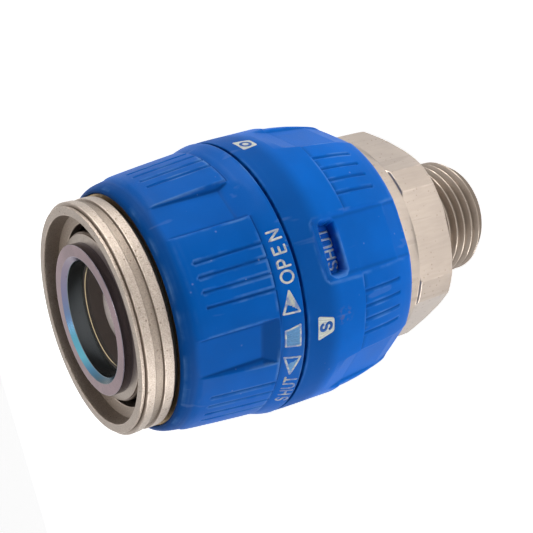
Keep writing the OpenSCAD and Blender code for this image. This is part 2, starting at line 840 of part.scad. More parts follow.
module front_sleeve() {
    hold_r = bush_r + fit_gap;
    drum_hold_r = drum_r + fit_gap;
    bore_r = drum_bore_r + 0.2;
    floor0 = grip_front_r - scallop_h;
    floor1 = grip_rear_r - scallop_h - 0.45;
    scallop = [
        [floor0 - edge_w, front_start - past],
        [floor0, front_round_end],
        [floor1, scallop_end],
        [grip_rear_r + 0.2, pad_rear + 0.4],
        [grip_rear_r + 9 * past, pad_rear + 0.4],
        [grip_rear_r + 9 * past, front_start - past]];
    color("#0f55b4")
        difference() {
            turned(concat(
                [[hold_r, front_start]],
                rounding([grip_front_r - front_round_w, front_round_end], front_round_w,
                    front_round_len, 270, 360),
                curve([grip_front_r, front_round_end],
                    [grip_front_r + 0.8, front_round_end + 4.2], [grip_rear_r, pad_rear]),
                curve([grip_rear_r, pad_rear], [grip_rear_r + 0.6, pad_rear + band_len / 2],
                    [seam_r, front_end - seam_chamfer_w], 6),
                [[seam_r - seam_chamfer_w, front_end],
                [drum_hold_r, front_end],
                [drum_hold_r, drum_start],
                [bore_r, drum_start],
                [bore_r, bush_end],
                [hold_r, bush_end]]));
            for (i = [0:grip_pads - 1])
                at(index_deg + i * 360 / grip_pads)
                    tapered_pocket(scallop, scallop_w, 0.5, floor0 - past, grip_rear_r,
                        front_start - past, pad_rear + 0.4);
            for (i = [0:grip_pads - 1])
                at(index_deg + (i + 0.5) * 360 / grip_pads)
                    groove_set(grip_front_r + 0.42, front_groove_start, grip_rear_r, pad_rear);
            key_ribs(fit_gap, front_end + past);
        }
}

module bearing_bush() {
    color("#a98a4e")
        turned([
            [drum_bore_r, bush_start],
            [bush_r - edge_w, bush_start],
            [bush_r, bush_start + edge_w],
            [bush_r, bush_end],
            [drum_bore_r, bush_end]]);
}

module wiper_ring() {
    inner = collar_neck_r + fit_gap;
    color("#17181c")
        turned([
            [inner, band2_end + fit_gap],
            [land_r - wiper_w / 2, band2_end + fit_gap],
            [land_r, band2_end + wiper_w],
            [land_r, shoulder_end],
            [inner, shoulder_end]]);
}

module rear_sleeve() {
    neck_bore_r = adapter_neck_r + fit_gap;
    web_bore_r = spigot_r + fit_gap;
    round_start = rear_end - rear_edge_r;
    ramp_end = rear_step + 0.4;
    top_r = rear_max_r + 9 * past;
    out_r = rear_end_r - rear_edge_r - 0.2;
    floor_tail = [
        [recess_r, ramp_end],
        [recess_r - 0.45, rear_groove_end],
        [out_r, rear_end + past]];
    color("#0f55b4")
        difference() {
            turned(concat(
                [[cavity_r, rear_start],
                [seam_r - seam_chamfer_w, rear_start],
                [seam_r, rear_start + seam_chamfer_w],
                [rear_max_r, rear_step],
                [rear_grip_r, rear_step + 0.2]],
                curve([rear_grip_r, rear_step + 0.3],
                    [rear_grip_r - 0.2, rear_step + rear_pad_len * 0.6],
                    [rear_end_r, round_start]),
                rounding([rear_end_r - rear_edge_r, round_start], rear_edge_r, rear_edge_r, 0, 90),
                [[neck_bore_r, rear_end],
                [neck_bore_r, spigot_end],
                [web_bore_r, spigot_end],
                [web_bore_r, web_start],
                [cavity_r, web_start]]));
            at(0)
                tapered_pocket(concat(
                    [[top_r, window_recess_start],
                    [rear_max_r, window_recess_start],
                    [recess_r + 0.05, window_mid - window_w / 2 - 0.3]],
                    floor_tail,
                    [[top_r, rear_end + past]]),
                    recess_w, recess_side_w, recess_r - 0.1, rear_max_r,
                    window_recess_start - past, rear_end + past);
            at(0)
                translate([drum_r, 0, z_of(window_mid)])
                    rotate([0, 90, 0])
                        linear_extrude(rear_wall + past)
                            rounded_rect(window_w, window_len, window_corner_r);
            for (i = [0:grip_pads - 2])
                at(window_side_deg / 2 + (i + 0.5) * rear_pad_deg)
                    tapered_pocket(concat(
                        [[top_r, recess_start],
                        [rear_max_r, recess_start]],
                        floor_tail,
                        [[top_r, rear_end + past]]),
                        recess_w, recess_side_w, recess_r - 0.1, rear_max_r,
                        recess_start - past, rear_end + past);
            for (i = [0:grip_pads - 1])
                at(window_side_deg / 2 + i * rear_pad_deg)
                    groove_set(rear_grip_r, rear_step - 0.2, rear_grip_r - 0.65, rear_groove_end);
            key_seats(fit_gap);
        }
}

// Round keys between the rear sleeve's web and the adapter's spigot, or their seats
module key_seats(gap) {
    for (i = [0:keys - 1])
        at(90 + i * 360 / keys)
            translate([spigot_r, 0, z_of(web_start + key_len)])
                cylinder(r = key_d / 2 + gap, h = key_len + gap, $fn = 32);
}

module anti_turn_keys() {
    color("#8d8f93")
        key_seats(0);
}

module retaining_ring() {
    outer = spigot_r + clip_h;
    open_half = 2 * outer * tan(clip_open_deg / 2);
    color("#6f7176")
        difference() {
            disc(outer, clip_start, web_start);
            disc(spigot_r - clip_groove_h + fit_gap, clip_start - past, web_start + past);
            at(180)
                translate([0, 0, z_of(web_start + past)])
                    linear_extrude(clip_t + 2 * past)
                        polygon([
                            [0, 0],
                            [2 * outer, -open_half],
                            [2 * outer, open_half]]);
        }
}

module adapter() {
    clip_floor_r = spigot_r - clip_groove_h;
    front_edge_w = 0.4;
    color("#cbb8a3")
        difference() {
            union() {
                turned([
                    [adapter_bore_r, neck_end],
                    [spigot_r - front_edge_w, neck_end],
                    [spigot_r, neck_end + front_edge_w],
                    [spigot_r, clip_start - fit_gap],
                    [clip_floor_r, clip_start - fit_gap],
                    [clip_floor_r, web_start + fit_gap],
                    [spigot_r, web_start + fit_gap],
                    [spigot_r, spigot_end],
                    [adapter_neck_r, spigot_end],
                    [adapter_neck_r, hex_start + past / 2],
                    [thread_r, hex_start + past / 2],
                    [thread_r, total_len - thread_chamfer_w],
                    [thread_r - thread_chamfer_w, total_len],
                    [flow_r, total_len],
                    [flow_r, tail_end + tail_end_gap],
                    [adapter_bore_r, tail_end + tail_end_gap]]);
                intersection() {
                    turned([
                        [flow_r + past / 2, hex_start],
                        [hex_corner_r - 0.3, hex_start],
                        [hex_corner_r, hex_start + 0.3],
                        [hex_corner_r, hex_end - hex_chamfer_len],
                        [hex_flat_r + 0.1, hex_end],
                        [flow_r + past / 2, hex_end]]);
                    translate([0, 0, z_of(hex_end + past)])
                        rotate([0, 0, hex_deg - 60])
                            cylinder(r = 2 * hex_flat_r / sqrt(3), h = hex_len + 2 * past,
                                $fn = 6);
                }
            }
            key_seats(fit_gap);
        }
}

module tail_o_ring() {
    color("#1c1c1e")
        cord_ring(tail_r, tail_cord_d - fit_gap, tail_cord_mid);
}

locking_collar();
nose_ring();
seat_retainer();
front_seat();
rear_seat();
seat_o_rings();
seat_springs();
socket_gasket();
valve_body();
valve_ball();
pinion_stems();
stem_o_rings();
rack_carriage();
cam_pins();
indicator_drum();
front_sleeve();
bearing_bush();
wiper_ring();
rear_sleeve();
retaining_ring();
anti_turn_keys();
adapter();
tail_o_ring();
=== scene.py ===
import json
import math

import bmesh
import bpy
import numpy as np
from mathutils import Matrix, Vector


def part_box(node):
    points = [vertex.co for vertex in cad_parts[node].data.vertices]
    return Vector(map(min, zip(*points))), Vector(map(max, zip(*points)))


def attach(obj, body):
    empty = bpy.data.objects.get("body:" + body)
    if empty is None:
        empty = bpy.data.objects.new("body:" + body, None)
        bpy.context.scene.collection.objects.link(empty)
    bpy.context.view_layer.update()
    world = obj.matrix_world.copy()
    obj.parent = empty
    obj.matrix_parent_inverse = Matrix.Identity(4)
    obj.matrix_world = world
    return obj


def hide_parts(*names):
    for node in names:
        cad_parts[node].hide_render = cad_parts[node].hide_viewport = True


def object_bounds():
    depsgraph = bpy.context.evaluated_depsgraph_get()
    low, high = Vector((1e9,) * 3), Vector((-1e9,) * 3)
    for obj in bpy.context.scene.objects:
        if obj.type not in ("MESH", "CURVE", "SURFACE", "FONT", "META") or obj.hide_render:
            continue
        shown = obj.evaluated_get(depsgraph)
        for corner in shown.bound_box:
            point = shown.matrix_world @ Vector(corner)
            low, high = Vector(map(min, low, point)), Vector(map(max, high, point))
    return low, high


bl_info = {
    "name": "Quick coupling with a ball valve",
    "version": (1, 0, 0),
    "blender": (4, 5, 0),
    "location": "View3D > Sidebar > Coupling",
    "description": "Dresses a liquid cooling quick coupling: sleeves, marks, plated parts and stage",
    "category": "Object",
}

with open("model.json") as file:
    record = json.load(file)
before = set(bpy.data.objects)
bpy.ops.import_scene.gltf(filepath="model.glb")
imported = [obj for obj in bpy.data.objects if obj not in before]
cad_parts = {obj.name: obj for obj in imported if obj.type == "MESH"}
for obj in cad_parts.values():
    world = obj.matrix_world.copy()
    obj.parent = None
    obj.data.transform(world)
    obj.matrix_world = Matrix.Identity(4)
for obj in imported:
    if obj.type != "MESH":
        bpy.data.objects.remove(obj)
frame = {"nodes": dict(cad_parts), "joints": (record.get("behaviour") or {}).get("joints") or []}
LOW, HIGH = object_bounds()
MM = 0.001
TOTAL = HIGH.z / MM


def depth_of(node, top=True):
    """Depth in mm behind the lip plane of a node's nose end, or of its thread end."""
    low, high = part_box(node)
    return TOTAL - (high.z if top else low.z) / MM


def radius_of(node):
    """Largest radius in mm of a node along X."""
    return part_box(node)[1].x / MM


FRONT_START = depth_of("front_sleeve")
FRONT_END = depth_of("front_sleeve", top=False)
REAR_START = depth_of("rear_sleeve")
REAR_END = depth_of("rear_sleeve", top=False)
DRUM_START = depth_of("indicator_drum")
DRUM_R = radius_of("indicator_drum")
BUSH_R = radius_of("bearing_bush")
SEAM_R = radius_of("front_sleeve")
GRIP_FRONT = FRONT_START + 1.8
PAD_REAR = FRONT_END - 3.7
STEP = REAR_END - 11.3
PAD_REAR_R = 21.35
REAR_R = 22.9
# Angles in degrees from the window side: pads, the hollows between them, a pad's four grooves
PADS = 6
INDEX = -29.5
FRONT_SCALLOPS = [INDEX + i * 60.0 for i in range(PADS)]
FRONT_PADS = [INDEX + (i + 0.5) * 60.0 for i in range(PADS)]
WINDOW_PAD = 28.7
PAD_STEP = 302.6 / 5.0
REAR_PADS = [WINDOW_PAD + i * PAD_STEP for i in range(PADS)]
REAR_RECESSES = [WINDOW_PAD + (i + 0.5) * PAD_STEP for i in range(PADS - 1)]
GROOVE_TURNS = (-9.0, -3.0, 3.0, 9.0)
# Start and end depths of the ramp behind the marked scallop, and behind the others
SHORT_RAMP = (17.9, 20.7)
LONG_RAMP = (18.9, 22.8)
OPEN_TURN = frame["joints"][0]["range_deg"][1]


# ---------------------------------------------------------------- numbers

def blend_step(x, low, high):
    """Smooth step from 0 at low to 1 at high."""
    t = np.clip((x - low) / (high - low), 0.0, 1.0)
    return t * t * (3.0 - 2.0 * t)


def soft_min(a, b, k):
    """Lower of two surfaces, with a fillet of about k where they cross."""
    h = np.clip(0.5 + 0.5 * (b - a) / k, 0.0, 1.0)
    return b * (1.0 - h) + a * h - k * h * (1.0 - h)


def soft_max(a, b, k):
    """Higher of two surfaces, with a fillet of about k where they cross."""
    return -soft_min(-a, -b, k)


def turn_to(angle, centre):
    """Signed angle in degrees from a centre line."""
    return (angle - centre + 180.0) % 360.0 - 180.0


def spread(*pieces):
    """Sorted rows from (start, end, count) pieces, with repeats left out."""
    rows = np.concatenate([np.linspace(*piece) for piece in pieces])
    rows = np.unique(np.round(rows, 4))
    keep = np.concatenate([[True], np.diff(rows) > 0.004])
    return rows[keep]


def angles_round(base, *groups):
    """Angles round the axis: an even base, and fine rows at (centre, offsets) groups."""
    rows = [np.arange(base) * 360.0 / base]
    for centres, offsets in groups:
        rows += [np.mod(c + np.asarray(offsets), 360.0) for c in centres]
    rows = np.unique(np.round(np.concatenate(rows), 3))
    keep = np.concatenate([[True], np.diff(rows) > 0.04])
    return rows[keep]


def place(angle, radius, depth):
    """Points in metres for an angle round the axis, a radius and a depth in mm."""
    a, radius, depth = np.broadcast_arrays(np.radians(angle), radius, depth)
    return np.stack([radius * np.sin(a), -radius * np.cos(a), TOTAL - depth], -1) * MM


# ---------------------------------------------------------------- meshes

def make_object(name, verts, faces, body, material, marks=None):
    """Mesh piece that rides on a body, with optional values per point."""
    mesh = bpy.data.meshes.new(name)
    mesh.from_pydata(verts.tolist(), [], faces)
    for key, values in (marks or {}).items():
        layer = mesh.attributes.new(key, "FLOAT", "POINT")
        layer.data.foreach_set("value", np.ascontiguousarray(values, np.float32))
    mesh.shade_smooth()
    mesh.materials.append(material)
    piece = bpy.data.objects.new(name, mesh)
    bpy.context.scene.collection.objects.link(piece)
    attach(piece, body)
    return piece


def mend_normals(piece, merge=False):
    """Makes the faces point outwards and, if asked, welds points that coincide."""
    work = bmesh.new()
    work.from_mesh(piece.data)
    if merge:
        bmesh.ops.remove_doubles(work, verts=work.verts, dist=2e-7)
    bmesh.ops.recalc_face_normals(work, faces=work.faces)
    work.to_mesh(piece.data)
    work.free()


def even_shading(piece):
    """Shades large faces flat between their narrow rounded edges."""
    weighted = piece.modifiers.new("even_shading", "WEIGHTED_NORMAL")
    weighted.keep_sharp = True
    weighted.weight = 60


def ring_faces(count, rows, closed=True):
    """Quads of a grid that closes round the axis, and along its rows if asked."""
    m = np.arange(count)[:, None]
    n = np.arange(rows if closed else rows - 1)[None, :]
    m1 = (m + 1) % count
    n1 = (n + 1) % rows
    quads = np.stack([m * rows + n, m * rows + n1, m1 * rows + n1, m1 * rows + n], -1)
    return quads.reshape(-1, 4)


def rounded_loop(corners, radius, steps=3):
    """Closed profile with rounded corners, and marks for convex and hollow ones.

    A corner is (radius, depth), with an optional rounding and the darkening of the wall after it.
    """
    pts = np.asarray([c[:2] for c in corners], float)
    radii = [c[2] if len(c) > 2 else radius for c in corners]
    wall_darkening = [c[3] if len(c) > 3 else 0.0 for c in corners]
    area = np.sum(pts[:, 0] * np.roll(pts[:, 1], -1) - np.roll(pts[:, 0], -1) * pts[:, 1])
    rows, ridge, hollow = [], [], []
    for i, here in enumerate(pts):
        back = pts[i - 1] - here
        ahead = pts[(i + 1) % len(pts)] - here
        lb, la = np.linalg.norm(back), np.linalg.norm(ahead)
        cut = min(radii[i], lb * 0.45, la * 0.45)
        p0, p2 = here + back / lb * cut, here + ahead / la * cut
        cross = back[0] * ahead[1] - back[1] * ahead[0]
        bend = abs(cross) / (lb * la)
        outward = cross * area < 0
        curve = [(1 - t) ** 2 * p0 + 2 * t * (1 - t) * here + t * t * p2
                 for t in np.linspace(0.0, 1.0, steps + 1)]
        before, after = p0 + back / lb * min(0.12, lb * 0.04), p2 + ahead / la * min(0.12, la * 0.04)
        rows += [before] + curve + [after]
        ridge += [0.0] + [bend if outward else 0.0] * len(curve) + [0.0]
        hollow += [wall_darkening[i - 1]] + [0.0 if outward else bend] * len(curve) + [wall_darkening[i]]
    return np.array(rows), np.array(ridge), np.array(hollow)


def lathe(name, corners, body, material, radius=0.08, count=192, steps=3):
    """Turned piece from a closed profile of (radius, depth) corners in mm."""
    rows, ridge, hollow = rounded_loop(corners, radius, steps)
    angle = np.arange(count) * 360.0 / count
    verts = place(angle[:, None], rows[None, :, 0], rows[None, :, 1]).reshape(-1, 3)
    marks = {"ridge": np.tile(ridge, count), "hollow": np.tile(hollow, count)}
    faces = ring_faces(count, len(rows)).tolist()
    piece = make_object(name, verts, faces, body, material, marks)
    mend_normals(piece)
    even_shading(piece)
    return piece


def curvature_marks(skin, angle, depth, radius):
    """How far each point of a skin stands above or below its surroundings."""
    reach = 0.3
    swing = np.degrees(reach / radius)
    around = skin(angle + swing, depth) + skin(angle - swing, depth)
    along = skin(angle, depth + reach) + skin(angle, depth - reach)
    rise = radius - (around + along) / 4.0
    return np.clip(rise / 0.07, 0.0, 1.0), np.clip(-rise / 0.07, 0.0, 1.0)


def moulded_shell(name, skin, wear, angles, outer, inner, body, material, hole_r=None):
    """Shell with a shaped outer skin and a turned inside; rows at hole_r open a hole."""
    grid_a = np.repeat(angles[:, None], len(outer), 1)
    grid_d = np.repeat(outer[None, :], len(angles), 0)
    grid_r = skin(grid_a, grid_d)
    ridge, hollow = curvature_marks(skin, grid_a, grid_d, grid_r)
    # The wear masks darken the front sleeve's zone by the collar, its marked ramp and the window's walls
    # with painted shade, darken the band behind the seam, and lighten the front sleeve's rear rim.
    darkening, rub_and_highlight = wear(grid_a, grid_d, grid_r)
    ridge, hollow = np.maximum(ridge, rub_and_highlight), np.maximum(hollow, darkening)
    inner = np.asarray(inner, float)
    in_a = np.repeat(angles[:, None], len(inner), 1)
    in_r = np.repeat(inner[None, :, 0], len(angles), 0)
    in_d = np.repeat(inner[None, :, 1], len(angles), 0)
    all_a = np.concatenate([grid_a, in_a], 1)
    all_r = np.concatenate([grid_r, in_r], 1)
    all_d = np.concatenate([grid_d, in_d], 1)
    rows = all_r.shape[1]
    blank = np.zeros_like(in_r)
    marks = {
        "ridge": np.concatenate([ridge, blank], 1).ravel(),
        "hollow": np.concatenate([hollow, blank], 1).ravel(),
    }
    quads = ring_faces(len(angles), rows)
    if hole_r is not None:
        at_hole = np.abs(all_r - hole_r) < 1e-6
        inside = at_hole[:, :len(outer)]
        key = {(round(a, 3), round(d, 3)) for a, d in zip(grid_a[inside], grid_d[inside])}
        flat_a, flat_d = all_a.ravel(), all_d.ravel()
        flat_hole = at_hole.ravel()
        sunk = np.array([
            flat_hole[i] and (round(flat_a[i], 3), round(flat_d[i], 3)) in key
            for i in range(len(flat_a))])
        quads = quads[~sunk[quads].all(1)]
    verts = place(all_a, all_r, all_d).reshape(-1, 3)
    piece = make_object(name, verts, quads.tolist(), body, material, marks)
    mend_normals(piece, merge=hole_r is not None)
    even_shading(piece)
    return piece


# ---------------------------------------------------------------- sleeve skins

FRONT_ROWS = np.array([
    [FRONT_START, BUSH_R + 0.25], [FRONT_START + 0.06, 18.72], [FRONT_START + 0.2, 18.95],
    [FRONT_START + 0.5, 19.22], [FRONT_START + 1.0, 19.46], [FRONT_START + 1.6, 19.64],
    [GRIP_FRONT + 0.3, 19.74], [GRIP_FRONT + 0.85, 20.07],
    [8.8, 20.22], [10.0, 20.4], [12.0, 20.66], [14.0, 20.92], [16.0, 21.16], [18.0, 21.4],
    [PAD_REAR - 0.02, 21.66], [PAD_REAR + 0.1, 21.4], [PAD_REAR + 0.5, 21.5],
    [21.5, 21.85], [22.3, 22.1], [23.1, 22.36], [FRONT_END - 0.3, SEAM_R - 0.02],
    [FRONT_END - 0.1, SEAM_R - 0.04], [FRONT_END, SEAM_R - 0.16],
])
REAR_ROWS = np.array([
    [REAR_START, SEAM_R - 0.16], [REAR_START + 0.1, SEAM_R - 0.04], [REAR_START + 0.3, SEAM_R],
    [26.0, 22.58], [28.0, 22.66], [30.0, 22.72], [32.0, 22.79], [34.0, 22.86],
    [STEP - 0.02, 22.9], [STEP + 0.16, 22.66], [36.0, 22.63], [38.0, 22.54], [40.0, 22.35],
    [42.0, 22.03], [44.0, 21.66], [45.1, 21.38], [45.5, 21.22], [45.9, 20.95],
    [46.15, 20.62], [REAR_END, 20.2],
])


def groove_dip(angle, depth, radius, centres, start, end, settings):
    """Depth of the round-ended grip grooves at each point."""
    half = settings.groove_width / MM / 2.0
    dip = np.zeros_like(radius)
    for centre in centres:
        for turn in GROOVE_TURNS:
            side = radius * np.radians(turn_to(angle, centre + turn))
            lead = np.maximum(np.maximum(start + half - depth, depth - end + half), 0.0)
            away = np.sqrt(side * side + lead * lead)
            dip = np.maximum(dip, 1.0 - blend_step(away, half - 0.14, half + 0.06))
    return dip * settings.groove_depth / MM


def pocket(angle, depth, radius, centre, rows, lean, fillet):
    """Surface of a flat-floored pocket from rows of depth, floor radius and half width."""
    off = turn_to(angle, centre)
    near = np.abs(off) < 24.0
    safe = np.radians(np.clip(off, -24.0, 24.0))
    floor = np.interp(depth, rows[:, 0], rows[:, 1])
    half = np.interp(depth, rows[:, 0], rows[:, 2])
    across = np.abs(radius * np.sin(safe))
    flat = floor / np.cos(safe)
    side = flat + (across - half) * lean
    cut = soft_max(flat, side, fillet)
    return np.where(near, cut, 99.0)


def front_skin(settings):
    """Outer radius of the front sleeve as a function of angle and depth."""
    deep = PAD_REAR_R - settings.scallop_depth / MM

    def scallop_rows(start, end):
        """Floor of a scallop that rises from start to end onto the band."""
        floor = deep + (start - SHORT_RAMP[0]) * 0.1
        top = np.interp(end, FRONT_ROWS[:, 0], FRONT_ROWS[:, 1]) + 0.08
        return np.array([
            [FRONT_START - 1.0, 19.3, 2.95], [GRIP_FRONT + 0.2, 19.66, 2.95],
            [start, floor, 2.95], [end, top, 3.9], [99.0, 80.0, 3.9]])

    def skin(angle, depth):
        base = np.interp(depth, FRONT_ROWS[:, 0], FRONT_ROWS[:, 1])
        radius = base - groove_dip(angle, depth, base, FRONT_PADS, 9.7, 60.0, settings) * (
            1.0 - blend_step(depth, PAD_REAR - 0.05, PAD_REAR + 0.12))
        for centre in FRONT_SCALLOPS:
            rows = scallop_rows(*(SHORT_RAMP if centre == INDEX else LONG_RAMP))
            cut = pocket(angle, depth, base, centre, rows, 1.25, 0.1)
            radius = soft_min(radius, cut, 0.07)
        return radius

    return skin


def front_shade_and_rim(angle, depth, radius):
    """Painted shade behind the collar and on the ramp of the marked scallop, and a lighter rear rim of the
    front sleeve.
    """
    # The zone behind the collar and the ramp face the nose; their darkening is painted shade.
    rim = 1.0 - blend_step(depth, GRIP_FRONT - 0.5, GRIP_FRONT + 0.9)
    below = np.interp(depth, FRONT_ROWS[:, 0], FRONT_ROWS[:, 1]) - radius
    around = np.abs(turn_to(angle, INDEX))
    ramp = blend_step(depth, SHORT_RAMP[0] - 0.15, SHORT_RAMP[0] + 0.1) * blend_step(below, 0.03, 0.15)
    darkening = np.maximum(rim, ramp * (1.0 - blend_step(around, 9.5, 11.0)))
    return darkening, blend_step(depth, FRONT_END - 0.3, FRONT_END - 0.12)


def rear_darkening(angle, depth, radius):
    """A darker band behind the seam, and painted shade on the walls of the rear sleeve's window."""
    band = 1.0 - blend_step(depth, 28.0, 31.5)
    # Painted shade on the window's walls.
    slot = 0.4 * (1.0 - blend_step(radius, 21.2, 21.5))
    darkening = np.maximum(band, slot * (1.0 - blend_step(depth, 33.6, 34.0)))
    return darkening, np.zeros_like(radius)


def window_gap(angle, depth, radius, settings):
    """Signed distance in mm to the edge of the window, negative inside it."""
    corner = 0.8
    x = np.abs(radius * np.radians(turn_to(angle, 0.0))) - settings.window_length / MM / 2 + corner
    y = np.abs(depth - settings.window_mid / MM) - settings.window_width / MM / 2 + corner
    outside = np.sqrt(np.maximum(x, 0.0) ** 2 + np.maximum(y, 0.0) ** 2)
    return outside + np.minimum(np.maximum(x, y), 0.0) - corner


def rear_skin(settings, hole_r):
    """Outer radius of the rear sleeve as a function of angle and depth."""
    deep = REAR_R - settings.recess_depth / MM
    wide = 4.35
    window_rows = np.array([
        [20.0, 27.0, wide], [27.55, 22.9, wide], [29.2, deep + 0.05, wide], [35.4, deep, wide],
        [42.8, deep - 0.45, wide], [47.0, 20.05, wide]])
    side_rows = np.array([
        [24.0, 24.2, wide], [29.7, 22.95, wide], [35.4, deep + 0.03, wide],
        [42.8, deep - 0.45, wide], [47.0, 20.05, wide]])

    def skin(angle, depth):
        base = np.interp(depth, REAR_ROWS[:, 0], REAR_ROWS[:, 1])
        cover = blend_step(depth, STEP - 0.02, STEP + 0.1)
        radius = base - cover * groove_dip(angle, depth, base, REAR_PADS, 20.0, 42.8, settings)
        for centre in REAR_RECESSES:
            cut = pocket(angle, depth, base, centre, side_rows, 0.72, 0.15)
            radius = soft_min(radius, cut, 0.12)
        cut = pocket(angle, depth, base, 0.0, window_rows, 0.72, 0.15)
        radius = soft_min(radius, cut, 0.12)
        gap = window_gap(angle, depth, radius, settings)
        radius = radius - 0.08 * (1.0 - blend_step(gap, 0.0, 0.16))
        wall = blend_step(gap, -0.06, 0.04)
        return np.where(wall <= 0.0, hole_r, hole_r + (radius - hole_r) * wall)

    return skin


# ---------------------------------------------------------------- shading helpers

def add(tree, kind, values=None, **settings):
    """Adds a node, sets its properties, and sets or links its inputs."""
    made = tree.nodes.new(kind)
    for key, value in settings.items():
        setattr(made, key, value)
    for key, value in (values or {}).items():
        if isinstance(value, bpy.types.NodeSocket):
            tree.links.new(value, made.inputs[key])
        else:
            made.inputs[key].default_value = value
    return made


def math_node(tree, kind, a, b=0.0, c=None, clamp=False):
    """Result of a Math node."""
    values = {0: a, 1: b}
    if c is not None:
        values[2] = c
    return add(tree, "ShaderNodeMath", values, operation=kind, use_clamp=clamp).outputs[0]


def mix_colour(tree, factor, a, b):
    """Result of a colour Mix node."""
    return add(tree, "ShaderNodeMix", {0: factor, 6: a, 7: b}, data_type="RGBA",
               clamp_factor=True).outputs[2]


def ramp(tree, value, low, high, smooth=True):
    """Value mapped from low..high to 0..1."""
    return add(tree, "ShaderNodeMapRange", {0: value, 1: low, 2: high, 3: 0.0, 4: 1.0},
               interpolation_type="SMOOTHSTEP" if smooth else "LINEAR").outputs[0]


def group(name, inputs, outputs, build):
    """Shader node group made once; build fills it and returns its output sockets."""
    if name in bpy.data.node_groups:
        return bpy.data.node_groups[name]
    tree = bpy.data.node_groups.new(name, "ShaderNodeTree")
    for label, kind, value in inputs:
        socket = tree.interface.new_socket(name=label, in_out="INPUT", socket_type=kind)
        socket.default_value = value
    for label, kind in outputs:
        tree.interface.new_socket(name=label, in_out="OUTPUT", socket_type=kind)
    entry = tree.nodes.new("NodeGroupInput")
    leave = tree.nodes.new("NodeGroupOutput")
    for label, socket in build(tree, entry.outputs).items():
        tree.links.new(socket, leave.inputs[label])
    return tree


def place_group(tree, grouped, **values):
    """Group placed in a material, with its named inputs set or linked."""
    made = tree.nodes.new("ShaderNodeGroup")
    made.node_tree = grouped
    for key, value in values.items():
        socket = made.inputs[key]
        if isinstance(value, bpy.types.NodeSocket):
            tree.links.new(value, socket)
        else:
            socket.default_value = value
    return made.outputs


FLOAT = "NodeSocketFloat"
VECTOR = "NodeSocketVector"


def grain_group():
    """Fine surface grain with an optional stretch: a height and a slow tone."""
    def build(tree, inp):
        spot = add(tree, "ShaderNodeTexCoord").outputs["Object"]
        pulled = add(tree, "ShaderNodeVectorMath", {0: spot, 1: inp["Stretch"]}, operation="MULTIPLY")
        fine = add(tree, "ShaderNodeTexNoise",
                   {"Vector": pulled.outputs[0], "Scale": inp["Scale"], "Detail": 4.0, "Roughness": 0.6})
        slow = add(tree, "ShaderNodeTexNoise", {"Vector": spot, "Scale": inp["Slow"], "Detail": 3.0})
        return {"Height": fine.outputs["Fac"], "Tone": slow.outputs["Fac"]}

    return group("coupling_grain",
                 [("Scale", FLOAT, 4000.0), ("Slow", FLOAT, 120.0), ("Stretch", VECTOR, (1.0, 1.0, 1.0))],
                 [("Height", FLOAT), ("Tone", FLOAT)], build)


def edge_group():
    """Masks that lighten ridges and darken hollows: rubbed edges and a painted highlight on the thread's
    crests, painted shade in the thread's valleys, behind the collar, on the marked ramp and on the window's
    walls, and other darkened hollows.
    """
    def build(tree, inp):
        spot = add(tree, "ShaderNodeTexCoord").outputs["Object"]
        ridge = add(tree, "ShaderNodeAttribute", attribute_name="ridge").outputs["Fac"]
        hollow = add(tree, "ShaderNodeAttribute", attribute_name="hollow").outputs["Fac"]
        patch = add(tree, "ShaderNodeTexNoise", {"Vector": spot, "Scale": inp["Scale"], "Detail": 5.0})
        torn = ramp(tree, patch.outputs["Fac"], 0.42, 0.68)
        rub_and_highlight = math_node(tree, "MULTIPLY", math_node(tree, "MULTIPLY", ridge, torn), inp["Rub"], clamp=True)
        darkening = math_node(tree, "MULTIPLY", hollow, inp["Dirt"], clamp=True)
        return {"Rub": rub_and_highlight, "Dirt": darkening}

    return group("coupling_edges", [("Scale", FLOAT, 260.0), ("Rub", FLOAT, 1.0), ("Dirt", FLOAT, 1.0)],
                 [("Rub", FLOAT), ("Dirt", FLOAT)], build)


def specks_group():
    """Mask of small scattered specks or pits."""
    def build(tree, inp):
        spot = add(tree, "ShaderNodeTexCoord").outputs["Object"]
        cells = add(tree, "ShaderNodeTexVoronoi", {"Vector": spot, "Scale": inp["Scale"]})
        dots = math_node(tree, "SUBTRACT", 1.0, ramp(tree, cells.outputs["Distance"], 0.06, inp["Size"]))
        patch = add(tree, "ShaderNodeTexNoise", {"Vector": spot, "Scale": inp["Patch"], "Detail": 2.0})
        some = ramp(tree, patch.outputs["Fac"], inp["Rare"], math_node(tree, "ADD", inp["Rare"], 0.06))
        pick = add(tree, "ShaderNodeTexWhiteNoise", {"Vector": cells.outputs["Position"]})
        few = ramp(tree, pick.outputs["Value"], inp["Few"], math_node(tree, "ADD", inp["Few"], 0.02))
        mask = math_node(tree, "MULTIPLY", math_node(tree, "MULTIPLY", dots, some), few, clamp=True)
        return {"Mask": mask}

    return group("coupling_specks",
                 [("Scale", FLOAT, 1500.0), ("Size", FLOAT, 0.3), ("Patch", FLOAT, 90.0),
                  ("Rare", FLOAT, 0.45), ("Few", FLOAT, 0.6)], [("Mask", FLOAT)], build)


def scratch_group():
    """Mask of thin scratches that run one way."""
    def build(tree, inp):
        spot = add(tree, "ShaderNodeTexCoord").outputs["Object"]
        pulled = add(tree, "ShaderNodeVectorMath", {0: spot, 1: inp["Stretch"]}, operation="MULTIPLY")
        thin = add(tree, "ShaderNodeTexNoise",
                   {"Vector": pulled.outputs[0], "Scale": inp["Scale"], "Detail": 2.0})
        lines = ramp(tree, thin.outputs["Fac"], inp["Rare"], math_node(tree, "ADD", inp["Rare"], 0.05))
        return {"Mask": lines}

    return group("coupling_scratches",
                 [("Scale", FLOAT, 900.0), ("Rare", FLOAT, 0.66), ("Stretch", VECTOR, (1.0, 1.0, 0.06))],
                 [("Mask", FLOAT)], build)


